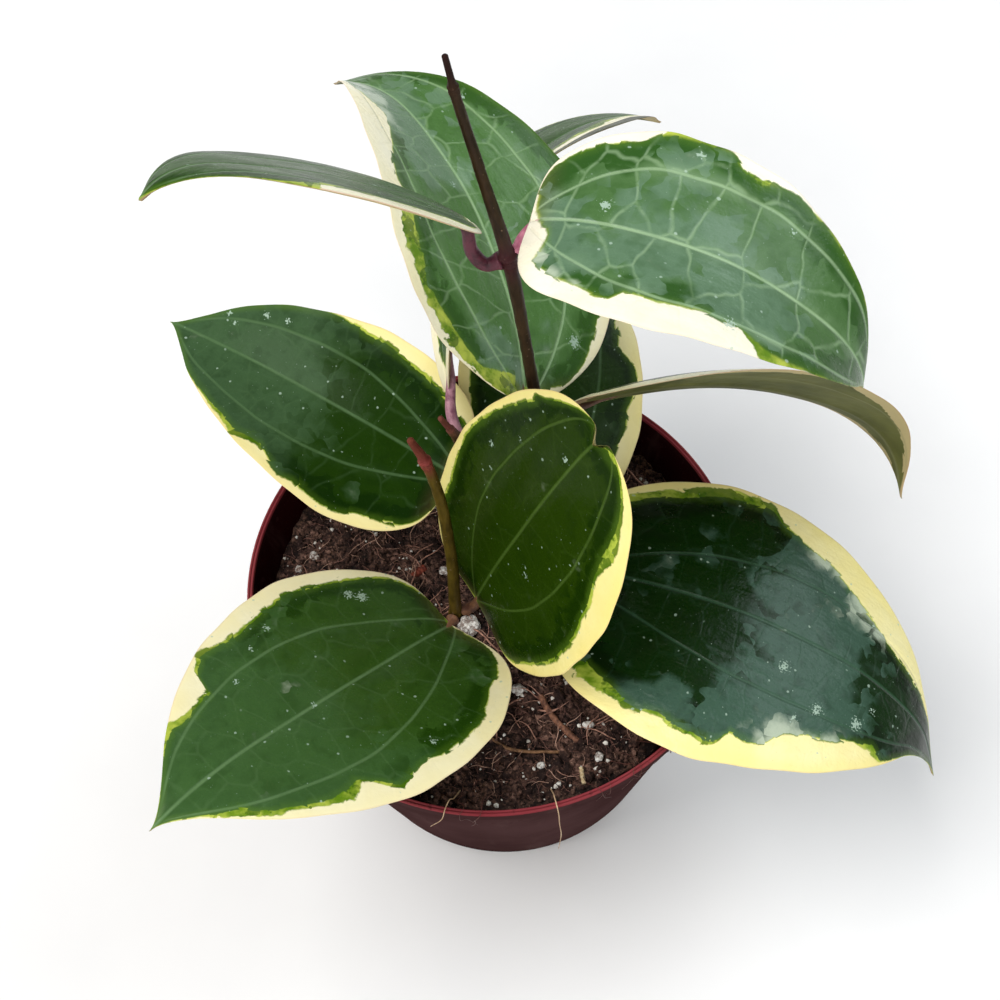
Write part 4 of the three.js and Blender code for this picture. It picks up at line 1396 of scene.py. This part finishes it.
def leaf_piece(name, leaf, material):
    """The blade, as one closed skin with what its finish reads, and its midrib's frames."""
    frames = midrib_frames(leaf)
    length = leaf["length"]
    bunched = (1 - np.cos(np.pi * np.arange(1, BLADE_ROWS) / BLADE_ROWS)) / 2
    s_rows = 0.6 * bunched + 0.4 * np.arange(1, BLADE_ROWS) / BLADE_ROWS
    t_columns = np.sin(np.pi / 2 * np.arange(-BLADE_COLUMNS, BLADE_COLUMNS + 1) / BLADE_COLUMNS)
    s, t = np.meshgrid(s_rows, t_columns, indexing="ij")
    profile = np.sqrt(np.clip(1 - t * t, 0, 1)) * np.clip(np.sin(np.pi * s), 0, 1) ** 0.35
    half = profile * LEAF_THICKNESS / 2
    top = blade_points(leaf, frames, s, t, half + surface_relief(leaf, s, t, True))
    bottom = blade_points(leaf, frames, s, t, -half + surface_relief(leaf, s, t, False))[:, 1:-1]
    ends = blade_points(leaf, frames, np.array([0.0, 1.0]), np.array([0.0, 0.0]), np.zeros(2))
    vertices = np.concatenate([top.reshape(-1, 3), bottom.reshape(-1, 3), ends])
    piece = new_piece(name, vertices * MM, blade_faces(*s.shape), material)

    def per_vertex(values, at_foot=0, at_point=0):
        return np.concatenate([values.ravel(), values[:, 1:-1].ravel(), [at_foot, at_point]])

    width = half_width(leaf, s, t)
    rim = np.minimum(width * (1 - np.abs(t)), np.minimum(s, 1 - s) * length + 0.2)
    cream_rows = leaf["cream"][0]
    values = {
        "rim": per_vertex(rim, 0.2),
        "cream": per_vertex(along_margin(leaf, "cream", s, t), cream_rows[0][1], cream_rows[-1][1]),
        "lime": per_vertex(along_margin(leaf, "lime", s, t)),
        "underside_shade": per_vertex(along_margin(leaf, "underside_shade", s, t)),
        "side_vein": per_vertex((np.abs(t) - side_vein_place(leaf, s)) * width, 0.5, 0.5),
        "pale": per_vertex(spots(leaf, "pale", s, t)),
        "scar": per_vertex(spots(leaf, "scars", s, t)),
        "sky_reflection": per_vertex(spots(leaf, "sky_reflection", s, t)),
        "foot": per_vertex(s * length, 0, length),
        "under": np.concatenate([np.zeros(top.size // 3), np.ones(bottom.size // 3), [0.5, 0.5]]),
    }
    for key, numbers in values.items():
        layer = piece.data.attributes.new(key, "FLOAT", "POINT")
        layer.data.foreach_set("value", numbers.astype(np.float32))
    flat = np.stack([values["foot"], per_vertex(t * width)], -1) / 10
    layer = piece.data.uv_layers.new(name="blade")
    layer.data.foreach_set("uv", flat[corner_vertices(piece)].ravel())
    return piece, frames


def leaf_material(name, leaf, seed):
    """Waxy skin in millimetre detail, laid out on the blade flattened out, in centimetres."""
    material, tree = new_finish(name)
    greens = {key: paint(*colour) for key, colour in LEAF_GREENS[leaf["green"]].items()}
    net_shows = NET_SHOWS[leaf["green"]]
    flat = tree.node("UVMap", {}, uv_map="blade")
    place = flat.stretch(1, 1, 1, (seed * 3.7, seed * 1.9, seed))
    across = abs(flat.node("SeparateXYZ", {0: flat}, output=1)) * 10

    def painted(key):
        return tree.node("Attribute", {}, output=2, attribute_name=key)

    rim, cream, lime, under = (painted(key) for key in ("rim", "cream", "lime", "under"))
    broad = place.noise(0.7, 3, 0.6)
    middle = place.noise(2.2, 3, 0.6)
    fine = place.noise(8, 3, 0.65)
    blocks = place.node("TexVoronoi", {"Vector": place.warped(3.0, 0.35), "Scale": 2.6}, output=1)
    blocks = blocks.node("SeparateColor", {0: blocks})

    # Where the green begins, and the lime fringe outside it
    ragged = 1.6 * (broad - 0.5) + 2.4 * (middle - 0.5) + 0.8 * (fine - 0.5) + 1.3 * (blocks - 0.5)
    border = rim - cream + ragged * leaf["ragged"] * cream.ramp(0.0, 1.5)
    green = border.ramp(-leaf["soft"], leaf["soft"] + 0.06)
    fringe = (border + 0.3 + lime * (0.4 + 1.2 * middle)).ramp(-0.2, 0.3)

    # The three main veins and the net between them
    net_place = place.stretch(1.1, 0.65, 1).warped(2.6, 0.2)
    net = net_place.node("TexVoronoi", {"Vector": net_place, "Scale": 1.1, "Randomness": 0.8},
                         feature="DISTANCE_TO_EDGE", voronoi_dimensions="2D")
    net = net.ramp(0.055, 0.0) * (0.35 + 0.65 * middle.ramp(0.35, 0.6)) * rim.ramp(0.6, 4)
    vein_width = leaf["vein_width"]
    beside_vein = abs(painted("side_vein"))
    midrib = across.ramp(1.15 * vein_width, 0.1)
    side_veins = beside_vein.ramp(vein_width, 0.1) * rim.ramp(0.2, 1.5)
    main_veins = midrib.at_least(side_veins * 0.8) * (0.45 + 1.1 * middle)
    veins = main_veins.at_least(net * net_shows)
    beside = across.ramp(3.5, 0).at_least(beside_vein.ramp(3.0, 0) * rim.ramp(1, 4))
    halo = beside * broad.ramp(0.35, 0.65) * net_shows

    # Green of the blade: a lighter core, a painted grey-blue reflection of the sky, and pale haze
    inner = (border - 4.5 + 9.0 * (broad - 0.5) + 3.5 * (blocks - 0.5)).ramp(-1.0, 1.0)
    colour = inner.mix(greens["edge"], greens["core"])
    # Painted reflection: a grey-blue sheen of the sky at the listed spots and, from a share of the length on,
    # towards the point.
    painted_reflection = painted("sky_reflection") + 0.6 * (blocks - 0.5) + 1.5 * (broad - 0.5) + 0.5 * (middle - 0.5)
    tipward = painted("foot") * (1 / leaf["length"]) - leaf["reflection_from"]
    tipward = (tipward + 0.5 * (broad - 0.5) + 0.12 * (blocks - 0.5)).ramp(-0.1, 0.16)
    painted_reflection = painted_reflection.ramp(0.24, 0.6).at_least(tipward)
    colour = (painted_reflection * (0.5 + 0.6 * middle)).mix(colour, greens["sky_reflection"])
    colour = (middle.ramp(0.45, 0.7) * 0.4).mix(colour, greens["edge"])
    colour = (halo * 0.35).mix(colour, greens["vein"])
    glow = border.ramp(2.2, 0.2) * 0.4 * middle
    colour = glow.mix(colour, paint(104, 144, 40))
    colour = (veins * 0.62).mix(colour, greens["vein"])
    haze = painted("pale") + 0.9 * (broad - 0.5) + 0.8 * (middle - 0.5) + 0.4 * (blocks - 0.5)
    colour = (haze.ramp(0.3, 0.9) * 0.75).mix(colour, paint(196, 208, 184))

    # Cream margin: two creams, yellower near the edge, with brown flecks and a pinkish line
    yolk = leaf["yolk"]
    cool_cream = paint(253 - 8 * yolk, 249 - 18 * yolk, 230 - 90 * yolk)
    warm_cream = paint(250 - 8 * yolk, 243 - 18 * yolk, 212 - 90 * yolk)
    margin = broad.ramp(0.3, 0.7).mix(cool_cream, warm_cream)
    margin = (rim.ramp(4.5, 0.5) * yolk * 0.6).mix(margin, paint(246, 228, 132))
    margin = (fine.ramp(0.68, 0.76) * 0.5 * yolk).mix(margin, paint(150, 116, 76))
    margin = (main_veins * 0.15).mix(margin, paint(214, 208, 150))
    edge_line = rim.ramp(0.5, 0.1)
    margin = (edge_line * (0.2 + 0.5 * leaf["pink"])).mix(margin, paint(206, 150, 132))
    yellow_green = middle.ramp(0.35, 0.65).mix(paint(96, 132, 18), paint(180, 194, 74))
    dark_flecks = (0.5 * fine + 0.5 * blocks).ramp(0.52, 0.6)
    yellow_green = (dark_flecks * 0.7).mix(yellow_green, paint(52, 90, 12))
    colour = green.mix(fringe.mix(margin, yellow_green), colour)
    # Painted shade: a dark olive strip along the margin, for a shaded underside rolled under; the blade is
    # not rolled there.
    underside_shade_colour = broad.ramp(0.3, 0.7).mix(paint(40, 46, 16), paint(70, 76, 38))
    colour = (painted("underside_shade") - rim).ramp(0, 0.3).mix(colour, underside_shade_colour)

    # Silvery specks and corky scars on the upper side
    grains = place.node("TexVoronoi", {"Vector": place, "Scale": 6.0})
    chosen = place.node("TexVoronoi", {"Vector": place, "Scale": 6.0}, output=1)
    chosen = chosen.node("SeparateColor", {0: chosen})
    specks = (grains + 0.5 * (fine - 0.5)).ramp(0.22, 0.12) * chosen.ramp(0.93, 0.95)
    crust = place.noise(20, 2)
    scars = (painted("scar") + 2.4 * (crust - 0.5)).ramp(0.52, 0.68)
    marks = (specks * 0.6).at_least(scars * 0.75) * (1 - under)
    colour = marks.mix(colour, paint(176, 200, 182))

    # Dull underside, and a blush where the stalk joins
    below = broad.ramp(0.3, 0.7).mix(paint(86, 90, 50), paint(112, 114, 66))
    dull = green.mix(paint(196, 180, 132), below)
    dull = (veins * 0.4).mix(dull, paint(150, 150, 112))
    dull = (edge_line * 0.35).mix(dull, paint(170, 120, 96))
    colour = under.mix(colour, dull)
    root_blush = painted("foot").ramp(6, 0.5) * (0.15 + 0.5 * under)
    colour = root_blush.mix(colour, paint(130, 84, 78))

    streaks = place.stretch(0.3, 1.3, 1).noise(3.0, 2)
    height = 0.2 * middle + 0.12 * streaks + 0.05 * fine - 0.12 * veins
    surface(
        material,
        {"Specular IOR Level": leaf["shine"], "IOR": 1.45, "Coat Roughness": 0.1},
        Base_Color=colour,
        Roughness=0.2 + 0.16 * middle + 0.25 * marks + 0.25 * under,
        Coat_Weight=0.35 * leaf["shine"] * (1 - under),
        Normal=relief(height * leaf["wrinkle"], 0.7),
    )
    return material


def stalk_material(name, dark, light):
    """Fleshy stalk with a rough, slightly hairy skin."""
    material, tree = new_finish(name)
    place = object_place(tree)
    ridges = stem_coordinates(tree).stretch(8, 0.5, 1).noise(1.0, 3)
    blush = place.noise(0.35, 3, 0.6)
    skin = (0.6 * blush + 0.4 * ridges).ramp(0.36, 0.64)
    surface(
        material,
        {"Specular IOR Level": 0.45},
        Base_Color=skin.mix(paint(*dark), paint(*light)),
        Roughness=0.45 + 0.2 * ridges,
        Normal=relief(0.12 * ridges + 0.08 * place.noise(2.5, 3)),
    )
    return material


def stalk_rod(name, leaf, frames, material):
    """The stalk: thick where it leaves the vine, and fading into the blade as its midrib."""
    places = np.array([0.02, 0.09, 0.2])
    lifts = np.array([-0.9, -0.75, -0.45])
    points = [*leaf["stalk"], *blade_points(leaf, frames, places, np.zeros(3), lifts)]
    radii = [STALK_RADIUS] * len(leaf["stalk"]) + [0.8 * STALK_RADIUS, 0.42 * STALK_RADIUS, 0.2]
    stops = stop_shares(points)

    def thickness(along, angle):
        wobble = noise.noise(Vector((math.cos(angle), math.sin(angle), along * 9 + leaf["length"])))
        collar = 0.3 * math.exp(-((along / 0.05) ** 2))
        return float(np.interp(along, stops, radii)) * (0.82 + 0.05 * wobble + collar)

    return rod(name, points, thickness, STALK_RINGS, STALK_SIDES, material, (0.2, 0.8))


STALK_COLOURS = {
    "leaf_upper_left": ((58, 16, 28), (96, 38, 54)),
    "leaf_upper_right": ((156, 78, 104), (206, 130, 152)),
    "leaf_back_arched": ((120, 68, 88), (188, 138, 152)),
}
USUAL_STALK = ((84, 54, 42), (126, 88, 62))

for seed, (node_name, shape) in enumerate(LEAVES.items()):
    leaf = {**LEAF_FORM, **shape}
    short_name = node_name.replace("leaf_", "")
    skin = leaf_material(short_name + "_skin", leaf, seed + 1)
    dark, light = STALK_COLOURS.get(node_name, USUAL_STALK)
    stalk_skin = stalk_material(short_name + "_stalk_skin", dark, light)
    blade, frames = leaf_piece(short_name + "_blade", leaf, skin)
    stalk = stalk_rod(short_name + "_stalk", leaf, frames, stalk_skin)
    whole = joined(short_name + "_leaf", blade, stalk)
    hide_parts(node_name)
    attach(whole, "root")
